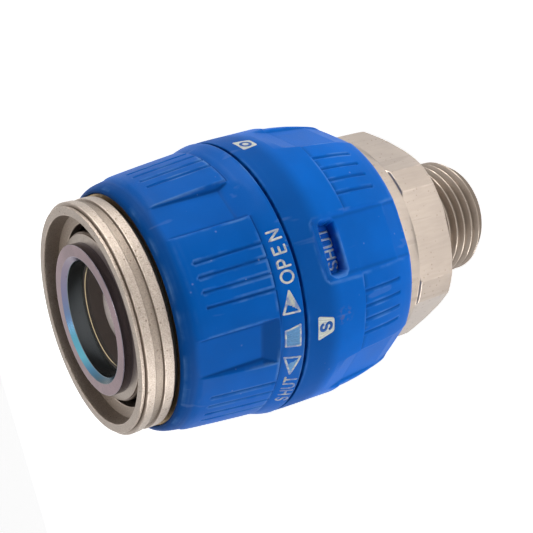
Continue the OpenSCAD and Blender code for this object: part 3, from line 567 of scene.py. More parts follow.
def new_material(name, **constants):
    """Material with its own Principled shader, and constants on its sockets."""
    material = bpy.data.materials.new(name)
    material.use_nodes = True
    tree = material.node_tree
    tree.nodes.clear()
    shader = add(tree, "ShaderNodeBsdfPrincipled")
    out = add(tree, "ShaderNodeOutputMaterial")
    tree.links.new(shader.outputs[0], out.inputs[0])
    for key, value in constants.items():
        shader.inputs[key.replace("_", " ")].default_value = value
    return material, tree, shader


def wire(tree, shader, colour, rough, height, bump, distance):
    """Feeds the shader's colour, normal and, unless it is None, roughness."""
    tree.links.new(colour, shader.inputs["Base Color"])
    if rough is not None:
        tree.links.new(rough, shader.inputs["Roughness"])
    bumped = add(tree, "ShaderNodeBump", {"Strength": bump, "Distance": distance, "Height": height})
    tree.links.new(bumped.outputs[0], shader.inputs["Normal"])


def shade(colour, factor):
    """Colour scaled by a factor, kept opaque."""
    return tuple(min(1.0, c * factor) for c in colour[:3]) + (1.0,)


# ---------------------------------------------------------------- finishes

def finish_polymer(name, colour, worn, smudge=None):
    """Satin moulded polymer: grain, rubbed edges, darkened hollows and zones (painted shade by the collar,
    on the marked ramp and on the window's walls), specks and scuffs.
    """
    if name in bpy.data.materials:
        return bpy.data.materials[name]
    material, tree, shader = new_material(name, Specular_IOR_Level=0.06, IOR=1.46)
    grain = place_group(tree, grain_group(), Scale=5200.0, Slow=70.0)
    edges = place_group(tree, edge_group(), Scale=210.0, Rub=worn, Dirt=0.7)
    specks = place_group(tree, specks_group(), Scale=900.0, Size=0.2, Patch=60.0, Rare=0.5, Few=0.86)
    scuffs = place_group(tree, scratch_group(), Scale=420.0, Rare=0.67, Stretch=(1.0, 1.0, 0.2))
    tone = ramp(tree, grain["Tone"], 0.3, 0.7)
    base = mix_colour(tree, tone, shade(colour, 0.9), shade(colour, 1.1))
    # Darkening from the hollow mark, painted shade where it comes from the sleeve masks.
    base = mix_colour(tree, edges["Dirt"], base, shade(colour, 0.45))
    rubbed = (colour[0] + 0.1, colour[1] * 1.3 + 0.11, min(1.0, colour[2] * 1.05 + 0.06), 1.0)
    base = mix_colour(tree, edges["Rub"], base, rubbed)
    scuff = math_node(tree, "MULTIPLY", scuffs["Mask"], 0.12 * worn)
    base = mix_colour(tree, scuff, base, (0.3, 0.42, 0.62, 1.0))
    dots = math_node(tree, "MULTIPLY", specks["Mask"], 0.28 * worn)
    base = mix_colour(tree, dots, base, (0.5, 0.55, 0.6, 1.0))
    if smudge is not None:
        spot = add(tree, "ShaderNodeTexCoord").outputs["Object"]
        away = add(tree, "ShaderNodeVectorMath", {0: spot, 1: tuple(smudge)}, operation="DISTANCE")
        torn = add(tree, "ShaderNodeTexNoise", {"Vector": spot, "Scale": 1500.0, "Detail": 3.0})
        near = math_node(tree, "SUBTRACT", 1.0, ramp(tree, away.outputs["Value"], 0.0004, 0.0019))
        stain = math_node(tree, "MULTIPLY", near, ramp(tree, torn.outputs["Fac"], 0.48, 0.6))
        base = mix_colour(tree, math_node(tree, "MULTIPLY", stain, 0.3), base, (0.2, 0.13, 0.1, 1.0))
    rough = math_node(tree, "MULTIPLY_ADD", grain["Tone"], 0.14, 0.36)
    rough = math_node(tree, "MULTIPLY_ADD", edges["Dirt"], 0.15, rough)
    wire(tree, shader, base, rough, grain["Height"], 0.3, 0.00006)
    return material


def finish_metal(name, colour, rough=0.3, pitted=0.5, grain_pull=(1.0, 1.0, 1.0), grain_scale=2600.0,
                 hollow_darkening=0.5, scratched=0.3, bump=0.12, fleck=0.25):
    """Plated or plain metal: grain, pits, darkened hollows, lightened edges and scratches; on the thread the
    darkened valleys are painted shade and the lightened crests a painted highlight.
    """
    if name in bpy.data.materials:
        return bpy.data.materials[name]
    material, tree, shader = new_material(name, Metallic=1.0)
    grain = place_group(tree, grain_group(), Scale=grain_scale, Slow=150.0, Stretch=grain_pull)
    edges = place_group(tree, edge_group(), Scale=420.0, Rub=0.8, Dirt=0.75)
    pits = place_group(tree, specks_group(), Scale=1700.0, Size=0.34, Patch=230.0, Rare=0.46, Few=0.55)
    marks = place_group(tree, scratch_group(), Scale=700.0, Rare=0.64, Stretch=(1.0, 1.0, 0.08))
    tone = ramp(tree, grain["Tone"], 0.32, 0.68)
    base = mix_colour(tree, tone, shade(colour, 0.95), shade(colour, 1.03))
    dull = math_node(tree, "MULTIPLY", ramp(tree, grain["Height"], 0.62, 0.38), fleck)
    base = mix_colour(tree, dull, base, shade(colour, 0.55))
    # Lightened ridges: rubbed edges, and a painted highlight on the thread's crests.
    base = mix_colour(tree, edges["Rub"], base, shade(colour, 1.3))
    # Darkened hollows, painted shade in the thread's valleys.
    base = mix_colour(tree, math_node(tree, "MULTIPLY", edges["Dirt"], hollow_darkening), base,
                      (colour[0] * 0.3, colour[1] * 0.28, colour[2] * 0.25, 1.0))
    base = mix_colour(tree, math_node(tree, "MULTIPLY", pits["Mask"], pitted), base,
                      (colour[0] * 0.3, colour[1] * 0.24, colour[2] * 0.18, 1.0))
    base = mix_colour(tree, math_node(tree, "MULTIPLY", marks["Mask"], scratched * 0.5), base,
                      shade(colour, 0.62))
    rougher = math_node(tree, "MULTIPLY_ADD", grain["Tone"], 0.06, rough - 0.03)
    rougher = math_node(tree, "MULTIPLY_ADD", pits["Mask"], 0.3, rougher)
    height = math_node(tree, "MULTIPLY_ADD", pits["Mask"], -0.6, grain["Height"])
    height = math_node(tree, "MULTIPLY_ADD", marks["Mask"], -0.4 * scratched, height)
    wire(tree, shader, base, rougher, height, bump, 0.0001)
    return material


# Heat tint of the nose ring's chamfer: place across the ring in mm, and colour
TINT_STEPS = (
    (-9.6, (0.04, 0.08, 0.1, 1.0)), (-7.4, (0.08, 0.2, 0.32, 1.0)), (-5.2, (0.13, 0.4, 0.5, 1.0)),
    (-2.0, (0.11, 0.34, 0.45, 1.0)), (0.8, (0.12, 0.21, 0.36, 1.0)), (5.0, (0.2, 0.2, 0.31, 1.0)),
    (9.0, (0.26, 0.22, 0.28, 1.0)))


def finish_tinted(name, face, bore, bore_radius, face_radius, head_radius):
    """Turned steel with a heat tint: mauve face, shifting chamfer, dark bore and side."""
    material, tree, shader = new_material(name, Metallic=1.0)
    grain = place_group(tree, grain_group(), Scale=2400.0, Slow=210.0)
    edges = place_group(tree, edge_group(), Scale=420.0, Rub=0.25, Dirt=0.8)
    pits = place_group(tree, specks_group(), Scale=1900.0, Size=0.3, Patch=260.0, Rare=0.5, Few=0.6)
    spot = add(tree, "ShaderNodeTexCoord").outputs["Object"]
    parts = add(tree, "ShaderNodeSeparateXYZ", {0: spot})
    wide = math_node(tree, "SQRT", math_node(
        tree, "ADD", math_node(tree, "MULTIPLY", parts.outputs[0], parts.outputs[0]),
        math_node(tree, "MULTIPLY", parts.outputs[1], parts.outputs[1])))
    tints = add(tree, "ShaderNodeValToRGB", {0: ramp(tree, parts.outputs[0], -0.01, 0.01, smooth=False)})
    stops = tints.color_ramp.elements
    while len(stops) < len(TINT_STEPS):
        stops.new(0.5)
    for stop, (across, colour) in zip(stops, TINT_STEPS):
        stop.position = (across + 10.0) / 20.0
        stop.color = colour
    warm = mix_colour(tree, ramp(tree, grain["Tone"], 0.35, 0.65), face, shade(face, 1.3))
    drift = math_node(tree, "ADD", wide, math_node(tree, "MULTIPLY_ADD", grain["Tone"], 0.0002, -0.0001))
    on_face = ramp(tree, drift, face_radius - 0.00006, face_radius + 0.00008)
    in_bore = math_node(tree, "SUBTRACT", 1.0, ramp(tree, wide, bore_radius + 0.00002, bore_radius + 0.0001))
    on_side = ramp(tree, wide, head_radius - 0.00009, head_radius - 0.00001)
    base = mix_colour(tree, on_face, tints.outputs[0], warm)
    base = mix_colour(tree, in_bore, base, bore)
    base = mix_colour(tree, on_side, base, (0.2, 0.185, 0.225, 1.0))
    base = mix_colour(tree, edges["Rub"], base, (0.45, 0.4, 0.4, 1.0))
    base = mix_colour(tree, edges["Dirt"], base, (0.05, 0.045, 0.05, 1.0))
    base = mix_colour(tree, math_node(tree, "MULTIPLY", pits["Mask"], 0.5), base, (0.06, 0.045, 0.05, 1.0))
    rough = math_node(tree, "MULTIPLY_ADD", grain["Tone"], 0.14, 0.17)
    wire(tree, shader, base, rough, grain["Height"], 0.05, 0.00008)
    return material


def finish_rubber(name, colour):
    """Matt rubber with faint dust."""
    material, tree, shader = new_material(name, Specular_IOR_Level=0.3)
    grain = place_group(tree, grain_group(), Scale=3600.0, Slow=180.0)
    dust = math_node(tree, "MULTIPLY", ramp(tree, grain["Tone"], 0.5, 0.75), 0.3)
    base = mix_colour(tree, dust, colour, (0.09, 0.085, 0.08, 1.0))
    rough = math_node(tree, "MULTIPLY_ADD", grain["Tone"], 0.2, 0.5)
    wire(tree, shader, base, rough, grain["Height"], 0.25, 0.00008)
    return material


def finish_ink(name, colour, under, worn):
    """Printed ink that wears through to the colour under it."""
    material, tree, shader = new_material(name, Specular_IOR_Level=0.25)
    grain = place_group(tree, grain_group(), Scale=4200.0, Slow=900.0)
    marks = place_group(tree, scratch_group(), Scale=1500.0, Rare=0.6, Stretch=(1.0, 1.0, 0.15))
    patch = ramp(tree, grain["Tone"], 0.62 - 0.35 * worn, 0.72 - 0.3 * worn)
    gone = math_node(tree, "MAXIMUM", math_node(tree, "MULTIPLY", patch, min(1.0, worn * 1.4)),
                     math_node(tree, "MULTIPLY", marks["Mask"], worn))
    base = mix_colour(tree, ramp(tree, grain["Height"], 0.35, 0.65), shade(colour, 0.86), colour)
    base = mix_colour(tree, gone, base, under)
    wire(tree, shader, base, None, grain["Height"], 0.08, 0.00004)
    shader.inputs["Roughness"].default_value = 0.5
    return material


# ---------------------------------------------------------------- marks

def bow(cx, cy, rx, ry, start, end, count=14):
    """Points on an ellipse from one angle to another."""
    turn = np.radians(np.linspace(start, end, count))
    return [(cx + rx * math.cos(t), cy + ry * math.sin(t)) for t in turn]


# Strokes of each letter in units of its height, with its width
LETTERS = {
    "O": (0.98, [bow(0.49, 0.5, 0.49, 0.5, 90, 450, 29)]),
    "P": (0.6, [[(0.0, 0.0), (0.0, 1.0)],
                [(0.0, 1.0), (0.3, 1.0)] + bow(0.3, 0.73, 0.27, 0.27, 90, -90) + [(0.0, 0.46)]]),
    "E": (0.56, [[(0.56, 1.0), (0.0, 1.0), (0.0, 0.0), (0.56, 0.0)], [(0.0, 0.5), (0.5, 0.5)]]),
    "N": (0.7, [[(0.0, 0.0), (0.0, 1.0), (0.7, 0.0), (0.7, 1.0)]]),
    "S": (0.56, [bow(0.28, 0.75, 0.27, 0.25, 20, 270) + bow(0.28, 0.25, 0.28, 0.25, 90, -160)]),
    "H": (0.64, [[(0.0, 0.0), (0.0, 1.0)], [(0.64, 0.0), (0.64, 1.0)], [(0.0, 0.5), (0.64, 0.5)]]),
    "U": (0.64, [[(0.0, 1.0)] + bow(0.32, 0.32, 0.32, 0.32, 180, 360) + [(0.64, 1.0)]]),
    "T": (0.62, [[(0.0, 1.0), (0.62, 1.0)], [(0.31, 1.0), (0.31, 0.0)]]),
}


def resample(points, step):
    """Polyline with points no further apart than step, corners kept."""
    out = [np.array(points[0], float)]
    for a, b in zip(points[:-1], points[1:]):
        a, b = np.array(a, float), np.array(b, float)
        count = max(1, int(math.ceil(np.linalg.norm(b - a) / step)))
        out += [a + (b - a) * k / count for k in range(1, count + 1)]
    return np.array(out)


def ribbon(points, width, step=0.22):
    """Flat outline rows of a stroke: left and right points, with rounded ends."""
    line = resample(points, step)
    closed = np.linalg.norm(line[0] - line[-1]) < 1e-6
    way = np.gradient(line, axis=0)
    if closed:
        way[0] = way[-1] = line[1] - line[-2]
    way /= np.maximum(np.linalg.norm(way, axis=1), 1e-9)[:, None]
    side = np.stack([-way[:, 1], way[:, 0]], 1)
    rows = [(p + s * width / 2, p - s * width / 2) for p, s in zip(line, side)]
    if not closed:
        for turn in (0.35, 0.75, 1.15):
            reach, slim = math.sin(turn) * width / 2, math.cos(turn) * width / 2
            first, last = line[0] - way[0] * reach, line[-1] + way[-1] * reach
            rows.insert(0, (first + side[0] * slim, first - side[0] * slim))
            rows.append((last + side[-1] * slim, last - side[-1] * slim))
    return rows


class PrintSheet:
    """Collects raised print on a turned surface as thin closed solids."""

    def __init__(self, surface, lift, sink):
        self.surface, self.lift, self.sink = surface, lift, sink
        self.verts, self.faces = [], []

    def point(self, angle0, depth0, u, v, height):
        """Adds a point u mm round and v mm towards the nose from a centre."""
        depth = depth0 - v
        radius = self.surface(depth)
        self.verts.append(place(angle0 + math.degrees(u / radius), radius + height, depth))
        return len(self.verts) - 1

    def strip(self, angle0, depth0, rows, extra=0.0):
        """Closed strip from rows of (left, right) points in mm."""
        ring = []
        for left, right in rows:
            ring.append([
                self.point(angle0, depth0, left[0], left[1], self.lift + extra),
                self.point(angle0, depth0, right[0], right[1], self.lift + extra),
                self.point(angle0, depth0, right[0], right[1], -self.sink),
                self.point(angle0, depth0, left[0], left[1], -self.sink)])
        for a, b in zip(ring[:-1], ring[1:]):
            self.faces += [(a[k], a[(k + 1) % 4], b[(k + 1) % 4], b[k]) for k in range(4)]
        self.faces += [tuple(reversed(ring[0])), tuple(ring[-1])]

    def letter(self, name, angle, depth, height, width):
        """Letter centred on an angle and a depth, upright towards the nose."""
        wide, strokes = LETTERS[name]
        for k, stroke in enumerate(strokes):
            pts = [((x - wide / 2) * height, (y - 0.5) * height) for x, y in stroke]
            self.strip(angle, depth, ribbon(pts, width), extra=0.002 * k)

    def panel(self, angle, depth, bottom, top, half_bottom, half_top, corner):
        """Filled shape between two heights, with straight sides and rounded corners."""
        rows = []
        count = 15
        for k in range(count):
            t = k / (count - 1)
            v = bottom + (top - bottom) * (1 - math.cos(math.pi * t)) / 2
            half = half_bottom + (half_top - half_bottom) * (v - bottom) / (top - bottom)
            edge = min(v - bottom, top - v)
            if edge < corner:
                half -= corner - math.sqrt(max(corner * corner - (corner - edge) ** 2, 0.0))
            half = max(half, 0.01)
            rows.append(((-half, v), (half, v)))
        wide = []
        for left, right in rows:
            spread_u = np.linspace(left[0], right[0], 9)
            wide.append([(u, left[1]) for u in spread_u])
        for c in range(8):
            self.strip(angle, depth, [(row[c], row[c + 1]) for row in wide])

    def outline(self, angle, depth, corners, width):
        """Closed outline through corners in mm."""
        loop = list(corners) + [corners[0]]
        for a, b in zip(loop[:-1], loop[1:]):
            self.strip(angle, depth, ribbon([a, b], width))

    def build(self, name, body, slot, material):
        """Makes one piece from all that was printed."""
        piece = make_object(name, np.array(self.verts), self.faces, body, material)
        mend_normals(piece)
        return piece


# ---------------------------------------------------------------- settings

class FinishSettings(bpy.types.PropertyGroup):
    """Colours and wear of the finishes."""

    blue: bpy.props.FloatVectorProperty(
        name="Sleeve blue", description="Colour of the two sleeves", subtype="COLOR", size=4,
        min=0.0, max=1.0, default=(0.0012, 0.108, 0.47, 1.0))
    # The drum's colour is lifted far above a navy to make up for the shade in the window: painted light.
    navy: bpy.props.FloatVectorProperty(
        name="Drum navy", description="Colour of the drum behind the window", subtype="COLOR", size=4,
        min=0.0, max=1.0, default=(0.02, 0.2, 0.8, 1.0))
    nickel: bpy.props.FloatVectorProperty(
        name="Nickel", description="Colour of the plated parts", subtype="COLOR", size=4,
        min=0.0, max=1.0, default=(0.43, 0.362, 0.308, 1.0))
    tint: bpy.props.FloatVectorProperty(
        name="Heat tint", description="Colour of the nose ring's face", subtype="COLOR", size=4,
        min=0.0, max=1.0, default=(0.19, 0.125, 0.14, 1.0))
    tint_inner: bpy.props.FloatVectorProperty(
        name="Bore tint", description="Colour of the nose ring's bore", subtype="COLOR", size=4,
        min=0.0, max=1.0, default=(0.17, 0.21, 0.235, 1.0))
    ink: bpy.props.FloatVectorProperty(
        name="Ink", description="Colour of the printed marks", subtype="COLOR", size=4,
        min=0.0, max=1.0, default=(0.62, 0.64, 0.58, 1.0))
    wear: bpy.props.FloatProperty(
        name="Wear", description="How rubbed the sleeves are", default=0.7, min=0.0, max=1.0)


class SleeveSettings(bpy.types.PropertyGroup):
    """Sizes of the moulded details of the two sleeves."""

    groove_width: bpy.props.FloatProperty(
        name="Groove width", description="Width of the grip grooves", subtype="DISTANCE",
        unit="LENGTH", default=0.00058, min=0.0005, max=0.0016)
    groove_depth: bpy.props.FloatProperty(
        name="Groove depth", description="Depth of the grip grooves", subtype="DISTANCE",
        unit="LENGTH", default=0.00022, min=0.0001, max=0.0006)
    scallop_depth: bpy.props.FloatProperty(
        name="Scallop depth", description="Depth of the front scallops", subtype="DISTANCE",
        unit="LENGTH", default=0.00118, min=0.0006, max=0.0014)
    recess_depth: bpy.props.FloatProperty(
        name="Recess depth", description="Depth of the rear recesses", subtype="DISTANCE",
        unit="LENGTH", default=0.0012, min=0.0008, max=0.0015)
    window_width: bpy.props.FloatProperty(
        name="Window width", description="Opening of the window along the axis", subtype="DISTANCE",
        unit="LENGTH", default=0.003, min=0.002, max=0.0036)
    window_length: bpy.props.FloatProperty(
        name="Window length", description="Opening of the window round the sleeve", subtype="DISTANCE",
        unit="LENGTH", default=0.0084, min=0.006, max=0.009)
    window_mid: bpy.props.FloatProperty(
        name="Window depth", description="Distance of the window from the lip plane", subtype="DISTANCE",
        unit="LENGTH", default=0.0315, min=0.03, max=0.032)


class ThreadSettings(bpy.types.PropertyGroup):
    """Sizes of the male pipe thread."""

    pitch: bpy.props.FloatProperty(
        name="Pitch", description="Distance between neighbouring crests", subtype="DISTANCE",
        unit="LENGTH", default=0.001814, min=0.001, max=0.0025)
    height: bpy.props.FloatProperty(
        name="Thread height", description="Depth of the thread from crest to root", subtype="DISTANCE",
        unit="LENGTH", default=0.00105, min=0.0005, max=0.0014)


class MarkSettings(bpy.types.PropertyGroup):
    """Sizes of the printed words and signs."""

    letter_height: bpy.props.FloatProperty(
        name="Letter height", description="Height of the letters on the front sleeve", subtype="DISTANCE",
        unit="LENGTH", default=0.00175, min=0.001, max=0.003)
    window_letter_height: bpy.props.FloatProperty(
        name="Window letter height", description="Height of the letters on the drum",
        subtype="DISTANCE", unit="LENGTH", default=0.00185, min=0.001, max=0.0025)
    stroke: bpy.props.FloatProperty(
        name="Stroke", description="Width of the letters' strokes", subtype="DISTANCE",
        unit="LENGTH", default=0.00032, min=0.0002, max=0.0006)


class StageSettings(bpy.types.PropertyGroup):
    """Camera and light."""

    lens: bpy.props.FloatProperty(
        name="Lens", description="Focal length of the camera", default=63.94, min=20.0, max=200.0,
        subtype="DISTANCE_CAMERA")
    key: bpy.props.FloatProperty(
        name="Key light", description="Power of the lights at both sides", default=0.85, min=0.0, max=30.0,
        unit="POWER")
    rim: bpy.props.FloatProperty(
        name="Rim light", description="Power of the light behind", default=0.3, min=0.0, max=20.0,
        unit="POWER")
    pool: bpy.props.FloatProperty(
        name="Pool of light", description="Power of the lamp over the floor", default=0.07, min=0.0,
        max=5.0, unit="POWER")
    sky: bpy.props.FloatProperty(
        name="Sky", description="Strength of the even light", default=0.1, min=0.0, max=2.0)


SETTINGS = {
    "coupling_finish": FinishSettings,
    "coupling_sleeves": SleeveSettings,
    "coupling_thread": ThreadSettings,
    "coupling_marks": MarkSettings,
    "coupling_stage": StageSettings,
}


def sleeve_blue(scene, rear=False):
    """Finish of the sleeves; the rear one is a lighter copy of the same blue, painted light, and has a faint
    smudge.
    """
    finish = scene.coupling_finish
    spot = place(np.array(-26.3), np.array(22.7), np.array(31.1)) if rear else None
    name = "sleeve_blue_lighter_stained" if rear else "sleeve_blue"
    # The rear sleeve's blue is a 1.25 times lighter copy: painted light.
    colour = shade(tuple(finish.blue), 1.25 if rear else 1.0)
    return finish_polymer(name, colour, finish.wear, spot)


def ring_offsets(half, fine, reach):
    """Offsets in degrees that are fine at both sides of a feature."""
    side = np.arange(half - reach, half + reach + 1e-6, fine)
    return np.concatenate([-side, [0.0], side])


class COUPLING_OT_front_sleeve(bpy.types.Operator):
    """Makes the turning front sleeve with its scallops and grip pads"""

    bl_idname = "coupling.front_sleeve"
    bl_label = "Front sleeve"

    def execute(self, context):
        sleeves = context.scene.coupling_sleeves
        grooves = [pad + turn for pad in FRONT_PADS for turn in GROOVE_TURNS]
        angles = angles_round(
            200, (grooves, ring_offsets(1.3, 0.16, 0.48)), (FRONT_SCALLOPS, ring_offsets(9.0, 0.3, 1.8)))
        outer = spread(
            (FRONT_START, GRIP_FRONT, 13), (GRIP_FRONT, 9.2, 6), (9.2, 10.7, 13), (10.7, 16.8, 10),
            (16.8, 17.6, 7), (17.6, 20.1, 9), (20.1, 21.0, 15), (21.0, 23.5, 9),
            (23.5, FRONT_END, 8))
        hold, bush_hold = DRUM_R + 0.02, BUSH_R + 0.02
        bore, bush_end = 17.48, 13.0
        inner = [
            [hold + 0.3, FRONT_END], [hold, FRONT_END - 0.3], [hold, DRUM_START + 0.1], [hold, DRUM_START],
            [bore, DRUM_START], [bore, DRUM_START - 0.1], [bore, bush_end + 0.1], [bore, bush_end],
            [bush_hold, bush_end], [bush_hold, bush_end - 0.1], [bush_hold, FRONT_START + 0.1],
            [bush_hold + 0.03, FRONT_START]]
        piece = moulded_shell(
            "front_sleeve_shell", front_skin(sleeves), front_shade_and_rim, angles, outer, inner,
            "turning_sleeve", sleeve_blue(context.scene))
        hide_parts("front_sleeve")
        return {"FINISHED"}


class COUPLING_OT_rear_sleeve(bpy.types.Operator):
    """Makes the fixed rear sleeve with its window, recesses and grip pads"""

    bl_idname = "coupling.rear_sleeve"
    bl_label = "Rear sleeve"

    def execute(self, context):
        sleeves = context.scene.coupling_sleeves
        cavity = DRUM_R + 0.3
        grooves = [pad + turn for pad in REAR_PADS for turn in GROOVE_TURNS]
        angles = angles_round(
            150, (grooves, ring_offsets(1.25, 0.18, 0.45)),
            ([0.0] + REAR_RECESSES, ring_offsets(13.2, 0.55, 2.8)), ([0.0], ring_offsets(11.2, 0.22, 1.3)))
        mid, half = sleeves.window_mid / MM, sleeves.window_width / MM / 2
        slot_rows = [(mid - half - 0.35, mid - half + 0.9, 12), (mid + half - 0.9, mid + half + 0.35, 12)]
        outer = spread(
            (REAR_START, REAR_START + 0.4, 6), (REAR_START + 0.4, 27.3, 8), (27.3, 28.0, 5),
            (28.0, 29.15, 6), *slot_rows, (mid + half + 0.35, STEP - 0.15, 8),
            (STEP - 0.15, STEP + 0.35, 9), (STEP + 0.35, 42.2, 12), (42.2, 43.3, 8),
            (43.3, 45.1, 7), (45.1, REAR_END, 11))
        slot = outer[(outer > mid - half - 0.4) & (outer < mid + half + 0.4)][::-1]
        neck_bore, spigot_bore, web_start, web_end = 16.92, 16.62, 36.0, 44.8
        inner = [[18.6, REAR_END], [17.1, REAR_END], [neck_bore, REAR_END - 0.15], [neck_bore, web_end],
                 [spigot_bore, web_end], [spigot_bore, web_start + 0.1], [spigot_bore, web_start],
                 [cavity - 0.05, web_start], [cavity, web_start - 0.1]]
        inner += [[cavity, 33.4]] + [[cavity, d] for d in slot]
        inner += [[cavity, 26.5], [cavity, REAR_START + 0.2], [cavity + 0.1, REAR_START]]
        piece = moulded_shell(
            "rear_sleeve_shell", rear_skin(sleeves, cavity), rear_darkening, angles, outer, inner,
            "housing", sleeve_blue(context.scene, rear=True), hole_r=cavity)
        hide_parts("rear_sleeve")
        return {"FINISHED"}


class COUPLING_OT_marks(bpy.types.Operator):
    """Prints the words, arrows and badges"""

    bl_idname = "coupling.marks"
    bl_label = "Printed marks"

    def execute(self, context):
        scene = context.scene
        marks, finish = scene.coupling_marks, scene.coupling_finish
        ink, blue, navy = tuple(finish.ink), tuple(finish.blue), tuple(finish.navy)
        tall, stroke = marks.letter_height / MM, marks.stroke / MM
        sign_row, open_row, shut_row, window_row = 22.15, 22.35, 22.55, 32.2
        arrow_places = ((-15.0, 1.0), (-42.3, -1.0))
        box_turn, back_badge, top_badge = -29.2, -28.5, 57.4

        def front(depth):
            return float(np.interp(depth, FRONT_ROWS[:, 0], FRONT_ROWS[:, 1]))

        def rear(depth):
            return float(np.interp(depth, REAR_ROWS[:, 0], REAR_ROWS[:, 1]))

        def drum(depth):
            return DRUM_R

        fresh = PrintSheet(front, 0.012, 0.06)
        for letter, angle in (("O", -5.4), ("P", -0.2), ("E", 4.9), ("N", 10.7)):
            fresh.letter(letter, angle, open_row, tall, stroke)
        fresh.build("open_word", "turning_sleeve", "blue_polymer",
                    finish_ink("ink_open", ink, shade(blue, 0.8), 0.3))

        faded = PrintSheet(front, 0.012, 0.06)
        for letter, angle in (("S", -63.4), ("H", -58.4), ("U", -53.9), ("T", -49.9)):
            faded.letter(letter, angle, shut_row, tall, stroke)
        faded.build("shut_word", "turning_sleeve", "blue_polymer",
                    finish_ink("ink_shut", shade(ink, 0.8), shade(blue, 1.0), 0.5))

        arrows = PrintSheet(front, 0.012, 0.06)
        for angle, way in arrow_places:
            tip, back = way * 1.65, -way * 1.6
            arrows.outline(angle, sign_row, [(tip, 0.0), (back, 1.15), (back, -1.15)], 0.3)
        arrows.outline(box_turn, sign_row, [(-1.4, 1.05), (1.1, 1.05), (1.9, -1.05), (-1.5, -1.05)], 0.26)
        arrows.build("arrow_outlines", "turning_sleeve", "blue_polymer",
                     finish_ink("ink_outline", ink, shade(blue, 1.1), 0.42))

        fills = PrintSheet(front, 0.006, 0.06)
        bright = PrintSheet(front, 0.006, 0.06)
        for sheet, (angle, way) in zip((bright, fills), arrow_places):
            rows = []
            for k in range(12):
                u = way * (-1.6 + 3.1 * k / 11.0)
                half = 1.1 * (1.0 - k / 11.0) + 0.02
                rows.append(((u, half * way), (u, -half * way)))
            sheet.strip(angle, sign_row, rows)
        bright.build("arrow_fill_bright", "turning_sleeve", "blue_polymer",
                     finish_ink("ink_fill_bright", shade(ink, 0.9), shade(blue, 1.2), 0.28))
        for c in range(8):
            rows = []
            for k in range(12):
                v = -1.0 + 2.0 * k / 11.0
                start, span = -1.45 + 0.04 * k / 11.0, (3.3 - 0.79 * k / 11.0) / 8.0
                rows.append(((start + span * c, v), (start + span * (c + 1), v)))
            fills.strip(box_turn, sign_row, rows)
        fills.build("arrow_fills", "turning_sleeve", "blue_polymer",
                    finish_ink("ink_fill", (0.12, 0.31, 0.58, 1.0), shade(blue, 1.2), 0.08))

        badge = PrintSheet(rear, 0.012, 0.06)
        for angle, depth, low, high in (
                (back_badge, 27.65, 1.15, 2.0), (top_badge, 28.0, 1.2, 1.75)):
            badge.panel(angle, depth, -1.45, 1.4, low, high, 0.35)
        badge.build("badge_plates", "housing", "blue_polymer",
                    finish_ink("ink_badge", shade(ink, 1.05), shade(blue, 1.2), 0.16))
        inlay = PrintSheet(rear, 0.02, 0.06)
        inlay.letter("S", back_badge, 27.65, 1.85, 0.5)
        inlay.letter("O", top_badge, 28.0, 1.5, 0.5)
        inlay.build("badge_letters", "housing", "blue_polymer",
                    finish_ink("ink_inlay", shade(blue, 0.75), shade(blue, 0.9), 0.1))

        words = PrintSheet(drum, 0.012, 0.06)
        high = marks.window_letter_height / MM
        for letter, angle in (("S", -7.6), ("H", -2.6), ("U", 2.7), ("T", 7.6)):
            words.letter(letter, angle, window_row, high, 0.34)
        for letter, angle in (("O", -8.0), ("P", -2.4), ("E", 2.4), ("N", 7.8)):
            words.letter(letter, angle - OPEN_TURN, window_row, high, 0.34)
        words.build("drum_words", "turning_sleeve", "navy_polymer",
                    finish_ink("ink_drum", (0.75, 0.85, 0.9, 1.0), shade(navy, 1.2), 0.3))
        return {"FINISHED"}


class COUPLING_OT_collar(bpy.types.Operator):
    """Makes the plated locking collar"""

    bl_idname = "coupling.collar"
    bl_label = "Locking collar"

    def execute(self, context):
        nickel = tuple(context.scene.coupling_finish.nickel)
        cast = finish_metal("nickel_cast", nickel, rough=0.4, pitted=0.6, grain_scale=5200.0,
                            hollow_darkening=0.85, bump=0.6, fleck=0.6)
        rim, tube = radius_of("locking_collar"), radius_of("seat_retainer") + 0.24
        lip, groove = rim - 0.55, rim - 0.45
        lip_bore, catch, undercut, neck = 16.15, 14.4, 15.9, 16.6
        catch_end, socket_end, rear_end = 4.5, 6.6, 8.2
        corners = [
            (lip_bore, 0.0, 0.12), (lip, 0.0, 0.1), (lip, 0.45, 0.05), (lip - 0.22, 0.47, 0.03),
            (lip - 0.22, 0.6, 0.03), (rim, 0.6, 0.14), (rim, 1.95, 0.14), (groove, 2.0, 0.1, 0.8),
            (groove, 3.25, 0.1), (rim, 3.3, 0.12), (rim, 4.9, 0.16), (neck, 4.9, 0.05),
            (neck, rear_end, 0.05), (tube, rear_end, 0.05), (tube, socket_end, 0.05),
            (undercut, socket_end, 0.05), (undercut, catch_end, 0.05), (catch, catch_end, 0.1),
            (catch, 3.05, 0.15), (lip_bore, 2.6, 0.08)]
        piece = lathe("locking_collar_turned", corners, "housing", cast, count=288, steps=4)
        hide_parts("locking_collar")
        return {"FINISHED"}


